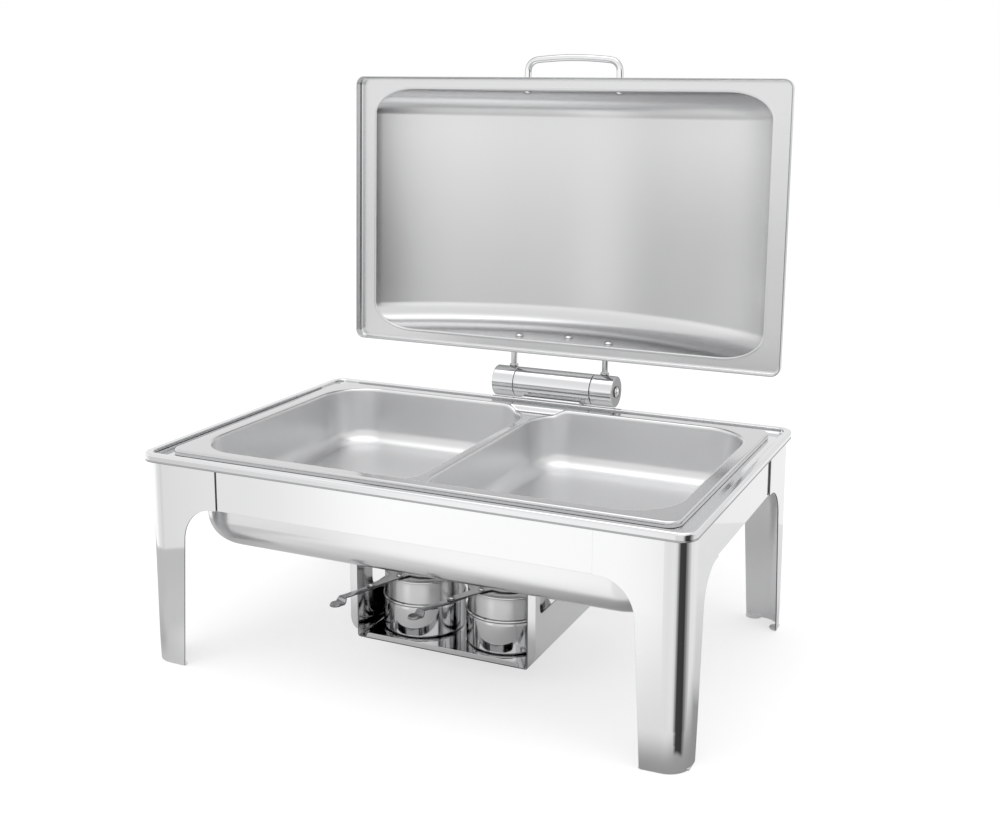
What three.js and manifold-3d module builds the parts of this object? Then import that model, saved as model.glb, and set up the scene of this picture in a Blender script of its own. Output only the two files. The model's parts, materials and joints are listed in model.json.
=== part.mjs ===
// Chafing dish food warmer: a polished stand with four formed legs, a water pan, a divided food pan,
// a hinged arched lid with a bar handle, and a hung tray with two fuel burners.
// Millimetres, +Z up, front towards -Y. The origin is on the floor under the centre of the outer
// box, lid open. While it is built, z = 0 is the top of the food pan's flange and y = 0 the middle
// of the pan; the last step moves everything onto the final origin.
import * as THREE from "three";
import { mergeVertices } from "three/addons/utils/BufferGeometryUtils.js";
import Module from "manifold-3d";

const wasm = await Module();
wasm.setup();

// ---- driving dimensions ----
const GAP = 0.3; // clearance between neighbouring pieces
const SHEET = 1.0; // pans and lid
const PLATE = 1.2; // stand and tray
const FLOOR = -218; // floor, below the food pan's flange top
const SIDES = [["left", -1], ["right", 1]];

// Water pan: a raised rim, a ledge inside it, and the well (inside sizes).
const RIM = { halfX: 285, halfY: 184.5, radius: 16, top: -0.5, low: -9.1, wide: 8 };
const LEDGE = { inset: 7, top: -6 };
const WELL = { halfX: 254, halfY: 151.5, radius: 53, low: -101.3, bend: 30 };

// Leg widths are measured from the corner: seam at the apron, knee and foot lower down.
const LEG = {
  halfX: RIM.halfX - 3,
  halfY: RIM.halfY - 3,
  radius: 22,
  top: -7.3,
  seam: 86.5,
  seamZ: -49.8,
  kneeZ: -86,
  steps: 8,
  frontFace: { knee: 47.5, foot: 41 },
  sideFace: { knee: 44, foot: 32 },
};
const APRON = { lap: 14, flange: 19 };
const TAB = { radius: 9, thick: 1.4, overlap: 0.5, faceOffset: 0.6, trim: 0.2 };

const PAN = { halfX: 265, halfY: 162.5, radius: 14, lip: 5.7, border: 15.5 };
const BAY = {
  halfX: PAN.halfX - PAN.border,
  halfY: PAN.halfY - PAN.border,
  radius: 50, // corners at the pan's ends
  dividerRadius: 38, // corners beside the divider
  halfDivider: 6.5,
  step: 6,
  deep: 64,
  bend: 18,
};

const AXIS = { y: 204, z: 12.8 }; // hinge line, along x
const OPEN = 92; // degrees between closed and the rest pose
const LID = { halfX: 264, wide: 317, radius: 10, rear: 167, plane: 12.4, lip: 10.8 };
// rear and front are the end walls' inner faces, forward of the lid's rear edge.
const DOME = { half: 244, rise: 90, rear: 14.5, front: 302.5, bend: 30, steps: 96 };
const BARREL = { radius: 18, bore: 5.3, half: 47.5, end: 75 };
const SHAFT = { radius: 5.0, bore: 5.06, half: 74 };
const POST = { x: 57.5, up: 8, radius: 3.5, segments: 14 };
const HINGE_SEGMENTS = 36;
const HINGE_PLATE = { thick: 3, halfX: 68, halfTop: 22, low: 4, shoulder: 30, top: 46 };
const SCREW = { radius: 2.0, hole: 2.3, head: 5.2, high: 2.2, hingeShank: 4.6, handleShank: 7 };
const HINGE_SCREWS = [["left", -56.5, 20], ["middle", 0, 36], ["right", 56.5, 20]]; // name, x, up
const HANDLE = { x: 57, up: 31.5, bar: 3.9, straight: 22, bend: 13, crown: 2.4 };

const TRAY = {
  halfX: 95, halfY: 88, low: -197, lip: 6, wall: -152, chamfer: 6, post: 29, top: -105.1,
  ear: 8, shelf: 12,
};
const STRAP = { thick: 1.5, wide: 24, y: 74, clear: 1, top: -16, knee: -44, ankle: -58 };
const CAN = {
  x: 48, y: -30.5, radius: 43, low: -195.5, shoulder: -159.5, top: -136.1, collar: 41.5,
  hole: 24, segments: 28,
};
// pivot, rivet and tip are distances from the cover's centre.
const COVER = { radius: 29, arm: 11, pivot: 34, rivet: 71, tip: 122 };
COVER.low = CAN.top + GAP;
COVER.high = COVER.low + 1.2;
const PIN = { radius: 2.0, coverHole: 2.06, collarHole: 2.3, segments: 24 };
const GRIP = { high: COVER.low - 0.2, low: COVER.low - 1.4, start: COVER.rivet - 16, hole: 1.7 };
const BURNERS = [["left", -1, -109.8], ["right", 1, -116.3]]; // name, side, cover heading in degrees

// ---- outlines ----
const radians = (degrees) => (degrees * Math.PI) / 180;
const cosine = (degrees) => Math.cos(radians(degrees));
const sine = (degrees) => Math.sin(radians(degrees));
const vectors = (points) => points.map(([x, y]) => new THREE.Vector2(x, y));

// Points at equal angles through a quarter turn, both ends included.
const quarter = (steps, pointAt) =>
  Array.from({ length: steps + 1 }, (_, i) => pointAt((90 * i) / steps));

// A rounded rectangle; radii run (+x+y), (-x+y), (-x-y), (+x-y).
function roundedBox(x0, x1, y0, y1, radii, steps = 5) {
  const centres = [
    [x1 - radii[0], y1 - radii[0]],
    [x0 + radii[1], y1 - radii[1]],
    [x0 + radii[2], y0 + radii[2]],
    [x1 - radii[3], y0 + radii[3]],
  ];
  return centres.flatMap(([x, y], k) =>
    quarter(steps, (turn) => [
      x + radii[k] * cosine(90 * k + turn),
      y + radii[k] * sine(90 * k + turn),
    ]));
}
const centredBox = (halfX, halfY, radius) =>
  roundedBox(-halfX, halfX, -halfY, halfY, [radius, radius, radius, radius]);

// The outline of a bent strip with the given centre line, mitred at each bend.
function stripOutline(line, thickness) {
  const last = line.length - 1;
  const normalBefore = (i) => {
    const along = line[i].clone().sub(line[i - 1]).normalize();
    return new THREE.Vector2(-along.y, along.x);
  };
  const left = [];
  const right = [];
  line.forEach((point, i) => {
    const normal = normalBefore(Math.max(i, 1));
    const mitre = normal.clone().add(normalBefore(Math.min(i + 1, last))).normalize();
    mitre.multiplyScalar(thickness / 2 / mitre.dot(normal));
    left.push([point.x + mitre.x, point.y + mitre.y]);
    right.push([point.x - mitre.x, point.y - mitre.y]);
  });
  return [...left, ...right.reverse()];
}

// ---- solids ----
function solid(source) {
  const geometry = source.index ? source.toNonIndexed() : source;
  geometry.deleteAttribute("normal");
  geometry.deleteAttribute("uv");
  const merged = mergeVertices(geometry, 1e-4);
  return new wasm.Manifold(
    new wasm.Mesh({
      numProp: 3,
      vertProperties: new Float32Array(merged.attributes.position.array),
      triVerts: new Uint32Array(merged.index.array),
    }),
  );
}

function geometryOf(shape) {
  const mesh = shape.getMesh();
  const positions = new Float32Array(mesh.numVert * 3);
  for (let i = 0; i < mesh.numVert; i++) {
    const start = i * mesh.numProp;
    positions.set(mesh.vertProperties.subarray(start, start + 3), i * 3);
  }
  return new THREE.BufferGeometry()
    .setAttribute("position", new THREE.BufferAttribute(positions, 3))
    .setIndex(new THREE.BufferAttribute(new Uint32Array(mesh.triVerts), 1));
}

// Outlines may be wound either way. A bevel rounds both ends within the outline.
const prism = (points, depth, bevel = 0) =>
  new THREE.ExtrudeGeometry(new THREE.Shape(vectors(points)), {
    depth,
    bevelEnabled: bevel > 0,
    bevelThickness: bevel,
    bevelSize: bevel,
    bevelOffset: -bevel,
    bevelSegments: 4,
    curveSegments: 1,
    steps: 1,
  });

// A flat shape in x, y from z0 to z1.
const slab = (points, z0, z1) => solid(prism(points, z1 - z0).translate(0, 0, z0));
// A shape in x, z pushed from y0 to y1.
const alongY = (points, y0, y1) =>
  solid(prism(points, y1 - y0).rotateX(Math.PI / 2).translate(0, y1, 0));
// A shape in y, z pushed from x0 to x1.
const YZ = new THREE.Matrix4().makeBasis(
  new THREE.Vector3(0, 1, 0), new THREE.Vector3(0, 0, 1), new THREE.Vector3(1, 0, 0));
const alongX = (points, x0, x1) =>
  solid(prism(points, x1 - x0).applyMatrix4(YZ).translate(x0, 0, 0));
const box = (x0, x1, y0, y1, z0, z1) =>
  solid(new THREE.BoxGeometry(x1 - x0, y1 - y0, z1 - z0)
    .translate((x0 + x1) / 2, (y0 + y1) / 2, (z0 + z1) / 2));
// Everything between two heights.
const layer = (z0, z1) => box(-400, 400, -400, 400, z0, z1);

const cylinder = (radius, length, segments) =>
  new THREE.CylinderGeometry(radius, radius, length, segments);
// A rod centred on x = 0 along the hinge line.
const hingeRod = (radius, half) =>
  solid(cylinder(radius, 2 * half, HINGE_SEGMENTS)
    .rotateZ(Math.PI / 2)
    .translate(0, AXIS.y, AXIS.z));
const rodY = (radius, y0, y1, x, z, segments = 12) =>
  solid(cylinder(radius, y1 - y0, segments).translate(x, (y0 + y1) / 2, z));
const rodZ = (radius, z0, z1, x, y, segments) =>
  solid(cylinder(radius, z1 - z0, segments).rotateX(Math.PI / 2).translate(x, y, (z0 + z1) / 2));

// Turned shapes; profile points are radius and distance along the axis.
const turned = (profile, segments) => new THREE.LatheGeometry(vectors(profile), segments);
const turnedZ = (profile, segments, x, y) =>
  solid(turned(profile, segments).rotateX(Math.PI / 2).translate(x, y, 0));
const turnedOnHinge = (profile, segments) =>
  solid(turned(profile, segments).rotateZ(-Math.PI / 2).translate(0, AXIS.y, AXIS.z));

function mirrored(shape, signX, signY) {
  const geometry = geometryOf(shape).scale(signX, signY, 1);
  if (signX * signY < 0) {
    const index = geometry.index.array;
    for (let k = 0; k < index.length; k += 3) {
      [index[k + 1], index[k + 2]] = [index[k + 2], index[k + 1]];
    }
  }
  return solid(geometry);
}
const moved = (shape, matrix) => solid(geometryOf(shape).applyMatrix4(matrix));

const frame = (halfX, halfY, radius, inset, z0, z1) =>
  slab(centredBox(halfX, halfY, radius), z0, z1).subtract(
    slab(centredBox(halfX - inset, halfY - inset, Math.max(radius - inset, 0.5)), z0 - 1, z1 + 1));

// A dished body: an outline carried down to low with a rounded bottom edge. Its top is
// rounded too, above the height in use.
const DISH_HIGH = 20;
const dish = (points, low, bend) =>
  solid(prism(points, DISH_HIGH - low, bend).translate(0, 0, low + bend));

// ---- finishes ----
const metal = ({ color, roughness }) =>
  new THREE.MeshStandardMaterial({ color, roughness, metalness: 1 });
const satin = () => metal({ color: 0xc9cbcc, roughness: 0.38 });
const polished = () => metal({ color: 0xd6d8da, roughness: 0.12 });
const chrome = () => metal({ color: 0xe0e2e4, roughness: 0.06 });
const plain = () => metal({ color: 0xc2c3c4, roughness: 0.2 });

// ---- stand ----
// What is cut from a leg face below the apron line: a quarter round, then a slow taper to the foot.
function legCut(corner, direction, { knee, foot }) {
  const start = LEG.seam - 5;
  const clear = LEG.seam + 8;
  const drop = LEG.seamZ - LEG.kneeZ;
  const outline = [
    [clear, LEG.seamZ],
    ...quarter(LEG.steps, (turn) => [
      start - (start - knee) * sine(turn),
      LEG.seamZ - drop * (1 - cosine(turn)),
    ]),
    [foot, FLOOR - 1],
    [clear, FLOOR - 1],
  ];
  return outline.map(([across, z]) => [corner + direction * across, z]);
}

// Half-round tab folded inward at the free edge of a leg face.
function footTab(x, y) {
  const { halfX, halfY } = LEG;
  return rodZ(TAB.radius, FLOOR, FLOOR + TAB.thick, x, y, 24)
    .intersect(box(0, halfX - TAB.trim, -halfY + TAB.trim, 0, FLOOR - 1, FLOOR + 5));
}

// The front right leg, an angle section with a rounded corner.
function legSolid() {
  const { halfX, halfY, radius, seam, frontFace, sideFace } = LEG;
  const corner = (bend) => quarter(LEG.steps, (turn) => [
    halfX - radius + bend * cosine(turn - 90),
    -halfY + radius + bend * sine(turn - 90),
  ]);
  const plan = [
    [halfX - seam, -halfY + PLATE],
    [halfX - seam, -halfY],
    ...corner(radius),
    [halfX, -halfY + seam],
    [halfX - PLATE, -halfY + seam],
    ...corner(radius - PLATE).reverse(),
  ];
  const tabReach = TAB.radius - TAB.overlap;
  return slab(plan, FLOOR, LEG.top)
    .subtract(alongY(legCut(halfX, -1, frontFace), -halfY - 5, -halfY + 20))
    .subtract(alongX(legCut(-halfY, 1, sideFace), halfX - 20, halfX + 5))
    .add(footTab(halfX - frontFace.foot + tabReach, -halfY + TAB.faceOffset))
    .add(footTab(halfX - TAB.faceOffset, -halfY + sideFace.foot - tabReach));
}

// Aprons lap behind the leg faces; the section is depth inward from the outer face, and z.
const APRON_SECTION = [
  [0, LEG.seamZ],
  [PLATE, LEG.seamZ],
  [PLATE, LEG.top - PLATE],
  [APRON.flange, LEG.top - PLATE],
  [APRON.flange, LEG.top],
  [0, LEG.top],
];
const apronHalf = (half) => half - LEG.seam + APRON.lap;

function frontApron() {
  const face = -LEG.halfY + PLATE + GAP;
  const half = apronHalf(LEG.halfX);
  return alongX(APRON_SECTION.map(([inward, z]) => [face + inward, z]), -half, half);
}

function rightApron() {
  const face = LEG.halfX - PLATE - GAP;
  const half = apronHalf(LEG.halfY);
  return alongY(APRON_SECTION.map(([inward, z]) => [face - inward, z]), -half, half);
}

// ---- pans ----
function waterPan() {
  const { halfX, halfY, radius, top, low, wide } = RIM;
  const ledge = [halfX - LEDGE.inset, halfY - LEDGE.inset, radius - LEDGE.inset];
  const ledgeLow = LEDGE.top - SHEET;
  const well = (grow) => dish(
    centredBox(WELL.halfX + grow, WELL.halfY + grow, WELL.radius + grow),
    WELL.low - grow, WELL.bend + grow);
  return slab(centredBox(...ledge), ledgeLow, LEDGE.top)
    .add(frame(...ledge, SHEET, ledgeLow, top))
    .add(frame(halfX, halfY, radius, wide, top - SHEET, top))
    .add(frame(halfX, halfY, radius, PLATE, low, top))
    .add(well(SHEET).intersect(layer(-300, LEDGE.top - 0.5)))
    .subtract(well(0));
}

// Two bays side by side, below a shallow step shared by both.
function foodPan() {
  const { halfX, halfY, radius, lip } = PAN;
  const bay = (grow) => {
    const divider = BAY.dividerRadius + grow;
    const end = BAY.radius + grow;
    const outline = roundedBox(
      -BAY.halfX - grow, -BAY.halfDivider + grow, -BAY.halfY - grow, BAY.halfY + grow,
      [divider, end, end, divider]);
    return dish(outline, -BAY.deep - grow, BAY.bend + grow);
  };
  const step = (grow, high) => slab(
    centredBox(BAY.halfX + grow, BAY.halfY + grow, BAY.radius + grow), -BAY.step - grow, high);
  const inside = bay(0);
  const outside = bay(SHEET);
  const below = layer(-300, -BAY.step - 0.5);
  return slab(centredBox(halfX, halfY, radius), -SHEET, 0)
    .add(frame(halfX, halfY, radius, SHEET, -lip, 0))
    .add(step(SHEET, -0.5))
    .add(outside.intersect(below))
    .add(mirrored(outside, -1, 1).intersect(below))
    .subtract(step(0, 10))
    .subtract(inside)
    .subtract(mirrored(inside, -1, 1));
}

// ---- burner tray and the two straps above it ----
function burnerTray() {
  const { halfX, halfY, low, lip, wall, chamfer, post, top, ear, shelf } = TRAY;
  const postY = halfY - post;
  // Side wall with a cut-out that leaves a post at each end.
  const side = [
    [-halfY, low], [halfY, low],
    [halfY, top], [postY, top],
    [postY, wall + chamfer], [postY - chamfer, wall],
    [-postY + chamfer, wall], [-postY, wall + chamfer],
    [-postY, top], [-halfY, top],
  ];
  // Outward ear down the front and rear edges, rounded off towards the floor.
  const earRoot = halfX - 0.5;
  const earShape = [
    [earRoot, top],
    ...quarter(5, (turn) => [
      earRoot + (ear + 0.5) * sine(turn),
      low + 8 + 14 * (1 - cosine(turn)),
    ]),
    [halfX + ear, top],
  ];
  // Folded top shelf of each post, under the straps.
  const shelfAt = (y0, y1) => box(halfX - shelf, halfX + ear, y0, y1, top - PLATE, top);
  const half = alongX(side, halfX - PLATE, halfX)
    .add(alongY(earShape, -halfY, -halfY + PLATE).add(alongY(earShape, halfY - PLATE, halfY)))
    .add(shelfAt(-halfY, -postY).add(shelfAt(postY, halfY)));
  const frontLip = roundedBox(-halfX + 10, halfX - 10, low, low + lip, [3.5, 3.5, 0.4, 0.4], 4);
  return half
    .add(mirrored(half, -1, 1))
    .add(box(-halfX + 0.2, halfX - 0.2, -halfY, halfY, low, low + PLATE))
    .add(alongY(frontLip, -halfY, -halfY + PLATE));
}

// Strap: down inside the side aprons, then close under the water pan.
function trayStrap(y) {
  const { thick, clear, wide } = STRAP;
  const inApron = LEG.halfX - 2 * (PLATE + GAP) - thick / 2;
  const under = WELL.low - SHEET - clear;
  const bend = WELL.bend + SHEET + clear;
  const wallX = WELL.halfX + SHEET + clear;
  const right = [
    [inApron, STRAP.top],
    [inApron, STRAP.knee],
    [wallX + thick / 2 + 1, STRAP.ankle],
    ...quarter(5, (turn) => [
      wallX - bend + (bend + thick / 2) * cosine(turn),
      under + bend - (bend + thick / 2) * sine(turn),
    ]),
  ];
  const left = right.map(([x, z]) => [-x, z]).reverse();
  return alongY(stripOutline(vectors([...right, ...left]), thick), y - wide / 2, y + wide / 2);
}

// ---- fuel burners ----
// Cup with a rolled edge, open at the top.
function burnerCan(x) {
  const { radius, low, shoulder } = CAN;
  return turnedZ([
    [0, low], [radius - 3, low], [radius, low + 3], [radius, shoulder - 2],
    [radius + 0.6, shoulder - 1], [radius, shoulder], [radius - 1.2, shoulder],
    [radius - 1.2, low + 3], [radius - 3.4, low + 1.2], [0, low + 1.2],
  ], CAN.segments, x, CAN.y);
}

// A cap with a flame opening, standing inside the cup's mouth.
function burnerCollar(x, heading) {
  const { collar, hole, top, shoulder } = CAN;
  const pinX = x + cosine(heading) * COVER.pivot;
  const pinY = CAN.y + sine(heading) * COVER.pivot;
  return turnedZ([
    [hole, top - 1], [collar - 1.6, top - 1], [collar - 1, top - 2.2], [collar - 1, shoulder - 8],
    [collar, shoulder - 8], [collar, top - 1.6], [collar - 1.6, top], [hole, top], [hole, top - 1],
  ], CAN.segments, x, CAN.y)
    .subtract(rodZ(PIN.collarHole, top - 3, top + 3, pinX, pinY, PIN.segments));
}

// The next four are built with the cover's centre at x = y = 0 and its arm along +x.
function burnerCover() {
  const { radius, arm, pivot, rivet, low, high } = COVER;
  const armShape = [
    [20, -arm / 2 - 4], [44, -arm / 2], [rivet + 2, -4.4], [rivet + 5, 0],
    [rivet + 2, 4.4], [44, arm / 2], [20, arm / 2 + 4],
  ];
  return rodZ(radius, low, high, 0, 0, 28)
    .add(slab(armShape, low, high))
    .subtract(rodZ(PIN.coverHole, low - 1, high + 1, pivot, 0, PIN.segments))
    .subtract(rodZ(GRIP.hole, low - 1, high + 1, rivet, 0, 12));
}

function pivotPin() {
  const { pivot, high } = COVER;
  const head = [
    [0, high + GAP], [3.6, high + GAP], [3.2, high + 1.2], [1.8, high + 1.8], [0, high + 2],
  ];
  return rodZ(PIN.radius, CAN.top - 2.6, high + GAP + 0.1, pivot, 0, PIN.segments)
    .add(turnedZ(head, 16, pivot, 0));
}

// A flat strip under the arm, ending in a tab bent down.
function burnerGrip() {
  const { high, low, start, hole } = GRIP;
  const { tip, rivet } = COVER;
  const profile = [
    [start, low], [tip - 15, low], [tip - 11, low - 4.5], [tip, low - 6.5],
    [tip, high - 6.2], [tip - 10.4, high - 4.2], [tip - 14.6, high], [start, high],
  ];
  const plan = [
    [start, -4], [tip - 16, -4], [tip - 12, -6.5], [tip - 3, -6.5], [tip + 0.5, -3],
    [tip + 0.5, 3], [tip - 3, 6.5], [tip - 12, 6.5], [tip - 16, 4], [start, 4],
  ];
  return alongY(profile, -12, 12)
    .intersect(slab(plan, low - 12, high + 2))
    .subtract(rodZ(hole, low - 2, high + 2, rivet, 0, 12));
}

function gripRivet() {
  const { low } = GRIP;
  const { high } = COVER;
  return turnedZ([
    [0, low - 1.3], [2.2, low - 1.3], [2.6, low - 0.3], [1.4, low - 0.3], [1.4, high + 0.3],
    [3.2, high + 0.3], [2.6, high + 1.5], [1.2, high + 2], [0, high + 2.1],
  ], 12, COVER.rivet, 0);
}

// ---- fixed half of the hinge ----
const barrelClearance = () => hingeRod(BARREL.radius + GAP, 90);

function hingeBracket() {
  const face = LEG.halfY - PLATE; // the rear apron's outer face is GAP inside this
  const rimY = RIM.halfY + 2.5;
  const outline = [
    [face, -46], [face + 3, -46], [face + 3, -16], [AXIS.y + 8, -16],
    [AXIS.y + 8, 0], [rimY, 0], [rimY, -12], [face, -12],
  ];
  return alongX(outline, -36, 36).subtract(barrelClearance());
}

const hingeBarrel = () =>
  hingeRod(BARREL.radius, BARREL.half).subtract(hingeRod(BARREL.bore, 60));

// ---- lid, built closed ----
const lidY = (forward) => LID.rear - forward; // measured from the rear edge
const lidZ = (up) => LID.plane + up; // measured from the flange's top
const REAR_WALL = lidY(DOME.rear);
const FRONT_WALL = lidY(DOME.front);
const HANDLE_START = FRONT_WALL - SHEET - GAP;
const PLATE_FACE = REAR_WALL + SHEET + GAP;

// A drum of the arch's full circle, its two ends rounded over.
function domeDrum(grow) {
  const arch = (DOME.half ** 2 + DOME.rise ** 2) / (2 * DOME.rise);
  const centre = DOME.rise - SHEET - arch;
  const circle = Array.from({ length: DOME.steps }, (_, i) => {
    const angle = (2 * Math.PI * (i + 0.5)) / DOME.steps;
    return [-(arch + grow) * Math.sin(angle), centre + (arch + grow) * Math.cos(angle)];
  });
  const flat = DOME.front - DOME.rear - 2 * DOME.bend;
  return solid(prism(circle, flat, DOME.bend + grow)
    .rotateX(Math.PI / 2)
    .translate(0, lidY(DOME.rear + DOME.bend), lidZ(0)));
}

function lidShell() {
  const { halfX, wide, radius, lip } = LID;
  let shell = slab(centredBox(halfX, wide / 2, radius), lidZ(-SHEET), lidZ(0))
    .add(frame(halfX, wide / 2, radius, SHEET, lidZ(-lip), lidZ(0)))
    .translate([0, lidY(wide / 2), 0])
    .add(domeDrum(SHEET).intersect(layer(lidZ(-0.5), lidZ(200))))
    .subtract(domeDrum(0));
  const drill = (wall, x, up) => {
    shell = shell.subtract(rodY(SCREW.hole, wall - 3, wall + 3, x, lidZ(up)));
  };
  for (const [, x, up] of HINGE_SCREWS) drill(REAR_WALL, x, up);
  for (const [, sign] of SIDES) drill(FRONT_WALL, sign * HANDLE.x, HANDLE.up);
  return shell;
}

// Button head inside the lid, shank through the wall towards +y or -y.
function lidScrew(x, y, z, direction, shank) {
  const { radius, head, high } = SCREW;
  const geometry = turned([
    [0, -shank], [radius, -shank], [radius, 0], [head, 0],
    [head * 0.9, high * 0.4], [head * 0.55, high * 0.82], [0, high],
  ], 12);
  if (direction > 0) geometry.rotateX(Math.PI);
  return solid(geometry.translate(x, y, z));
}

// Bar handle on the front wall.
function lidHandle() {
  const { x: endX, up, bar, straight, bend, crown } = HANDLE;
  // x and distance out from the wall, from the left end to the middle.
  const leftHalf = [
    [-endX, 0], [-endX, straight * 0.5], [-endX, straight * 0.9],
    ...quarter(4, (turn) => [-endX + bend - bend * cosine(turn), straight + bend * sine(turn)]),
    [-endX * 0.45, straight + bend + crown * 0.75],
    [0, straight + bend + crown],
  ];
  const rightHalf = leftHalf.slice(0, -1).reverse().map(([x, out]) => [-x, out]);
  const path = [...leftHalf, ...rightHalf]
    .map(([x, out]) => new THREE.Vector3(x, HANDLE_START - out, lidZ(up)));
  const ring = Array.from({ length: 10 }, (_, i) => [bar * cosine(36 * i), bar * sine(36 * i)]);
  let handle = solid(new THREE.ExtrudeGeometry(new THREE.Shape(vectors(ring)), {
    steps: 24,
    bevelEnabled: false,
    curveSegments: 1,
    extrudePath: new THREE.CatmullRomCurve3(path, false, "centripetal"),
  }));
  for (const [, sign] of SIDES) {
    handle = handle.subtract(
      rodY(SCREW.hole, HANDLE_START - 8, HANDLE_START + 5, sign * endX, lidZ(up)));
  }
  return handle;
}

// Plate outside the rear wall.
function lidHingePlate() {
  const { thick, halfX, halfTop, low, shoulder, top } = HINGE_PLATE;
  const outline = [
    [-halfX, lidZ(low)], [halfX, lidZ(low)], [halfX, lidZ(shoulder)],
    [halfTop, lidZ(top)], [-halfTop, lidZ(top)], [-halfX, lidZ(shoulder)],
  ];
  let plate = alongY(outline, PLATE_FACE, PLATE_FACE + thick);
  for (const [, x, up] of HINGE_SCREWS) {
    plate = plate.subtract(
      rodY(SCREW.hole, PLATE_FACE - 1, PLATE_FACE + thick + 1, x, lidZ(up)));
  }
  return plate;
}

// Post from the plate to a moving knuckle, thicker at the knuckle end.
function hingePost(sign) {
  const { x, up, radius, segments } = POST;
  const start = PLATE_FACE + HINGE_PLATE.thick + GAP;
  const end = AXIS.y - 10;
  const collarStart = AXIS.y - BARREL.radius - 1.2;
  return rodY(radius, start, end, sign * x, lidZ(up), segments)
    .add(rodY(radius + 2, collarStart, end, sign * x, lidZ(up), segments))
    .subtract(barrelClearance());
}

function rightKnuckle() {
  const { radius, half, end } = BARREL;
  const start = half + 0.5;
  return turnedOnHinge([
    [SHAFT.bore, start], [radius, start], [radius, end - 1.2], [radius - 1.2, end],
    [SHAFT.bore, end], [SHAFT.bore, start],
  ], HINGE_SEGMENTS);
}

function rightEndScrew() {
  const { end } = BARREL;
  return turnedOnHinge([
    [0, end + GAP], [6.6, end + GAP], [6.2, end + 1.6], [3.6, end + 3.2], [0, end + 3.8],
  ], 18);
}

// ---- assembly ----
const group = new THREE.Group();
group.name = "chafing_dish_food_warmer";

function add(name, shape, material) {
  const mesh = new THREE.Mesh(geometryOf(shape), material);
  mesh.name = name;
  group.add(mesh);
}

function addStand() {
  const leg = legSolid();
  add("leg_front_right", leg, polished());
  add("leg_front_left", mirrored(leg, -1, 1), polished());
  add("leg_rear_right", mirrored(leg, 1, -1), polished());
  add("leg_rear_left", mirrored(leg, -1, -1), polished());
  const front = frontApron();
  const right = rightApron();
  add("front_apron", front, polished());
  add("rear_apron", mirrored(front, 1, -1), polished());
  add("right_apron", right, polished());
  add("left_apron", mirrored(right, -1, 1), polished());
}

function addBurner(side, sign, heading) {
  const x = sign * CAN.x;
  const place = new THREE.Matrix4()
    .makeTranslation(x, CAN.y, 0)
    .multiply(new THREE.Matrix4().makeRotationZ(radians(heading)));
  add(side + "_burner_can", burnerCan(x), plain());
  add(side + "_burner_collar", burnerCollar(x, heading), chrome());
  add(side + "_burner_cover", moved(burnerCover(), place), chrome());
  add(side + "_cover_pivot_pin", moved(pivotPin(), place), chrome());
  add(side + "_burner_grip", moved(burnerGrip(), place), plain());
  add(side + "_grip_rivet", moved(gripRivet(), place), chrome());
}

// The lid is turned about the hinge line to its rest pose.
function addLid() {
  const swing = new THREE.Matrix4()
    .makeTranslation(0, AXIS.y, AXIS.z)
    .multiply(new THREE.Matrix4().makeRotationX(radians(-OPEN)))
    .multiply(new THREE.Matrix4().makeTranslation(0, -AXIS.y, -AXIS.z));
  const addOpen = (name, shape, material) => add(name, moved(shape, swing), material);

  addOpen("lid_shell", lidShell(), satin());
  for (const [name, x, up] of HINGE_SCREWS) {
    const screw = lidScrew(x, REAR_WALL - GAP, lidZ(up), 1, SCREW.hingeShank);
    addOpen("lid_hinge_screw_" + name, screw, chrome());
  }
  for (const [side, sign] of SIDES) {
    const screw = lidScrew(
      sign * HANDLE.x, FRONT_WALL + GAP, lidZ(HANDLE.up), -1, SCREW.handleShank);
    addOpen("handle_screw_" + side, screw, chrome());
  }
  addOpen("lid_handle", lidHandle(), chrome());
  addOpen("lid_hinge_plate", lidHingePlate(), polished());
  for (const [side, sign] of SIDES) {
    const onSide = (shape) => (sign > 0 ? shape : mirrored(shape, -1, 1));
    addOpen("hinge_post_" + side, hingePost(sign), chrome());
    addOpen("hinge_knuckle_" + side, onSide(rightKnuckle()), chrome());
    addOpen("hinge_end_screw_" + side, onSide(rightEndScrew()), chrome());
  }
}

addStand();
add("water_pan", waterPan(), satin());
add("food_pan", foodPan(), satin());
add("burner_tray", burnerTray(), polished());
add("tray_strap_front", trayStrap(-STRAP.y), satin());
add("tray_strap_rear", trayStrap(STRAP.y), satin());
for (const [side, sign, heading] of BURNERS) addBurner(side, sign, heading);
add("hinge_bracket", hingeBracket(), polished());
add("hinge_barrel", hingeBarrel(), chrome());
add("hinge_shaft", hingeRod(SHAFT.radius, SHAFT.half), plain());
addLid();

// Onto the final origin: centred in x and y, standing on z = 0.
const bounds = new THREE.Box3();
for (const { geometry } of group.children) {
  geometry.computeBoundingBox();
  bounds.union(geometry.boundingBox);
}
const centre = bounds.getCenter(new THREE.Vector3());
for (const { geometry } of group.children) {
  geometry.translate(-centre.x, -centre.y, -bounds.min.z);
  geometry.computeVertexNormals();
}

export default group;
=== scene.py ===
import json
import math

import bmesh
import bpy
from mathutils import Matrix, Vector
from mathutils.geometry import delaunay_2d_cdt


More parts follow.
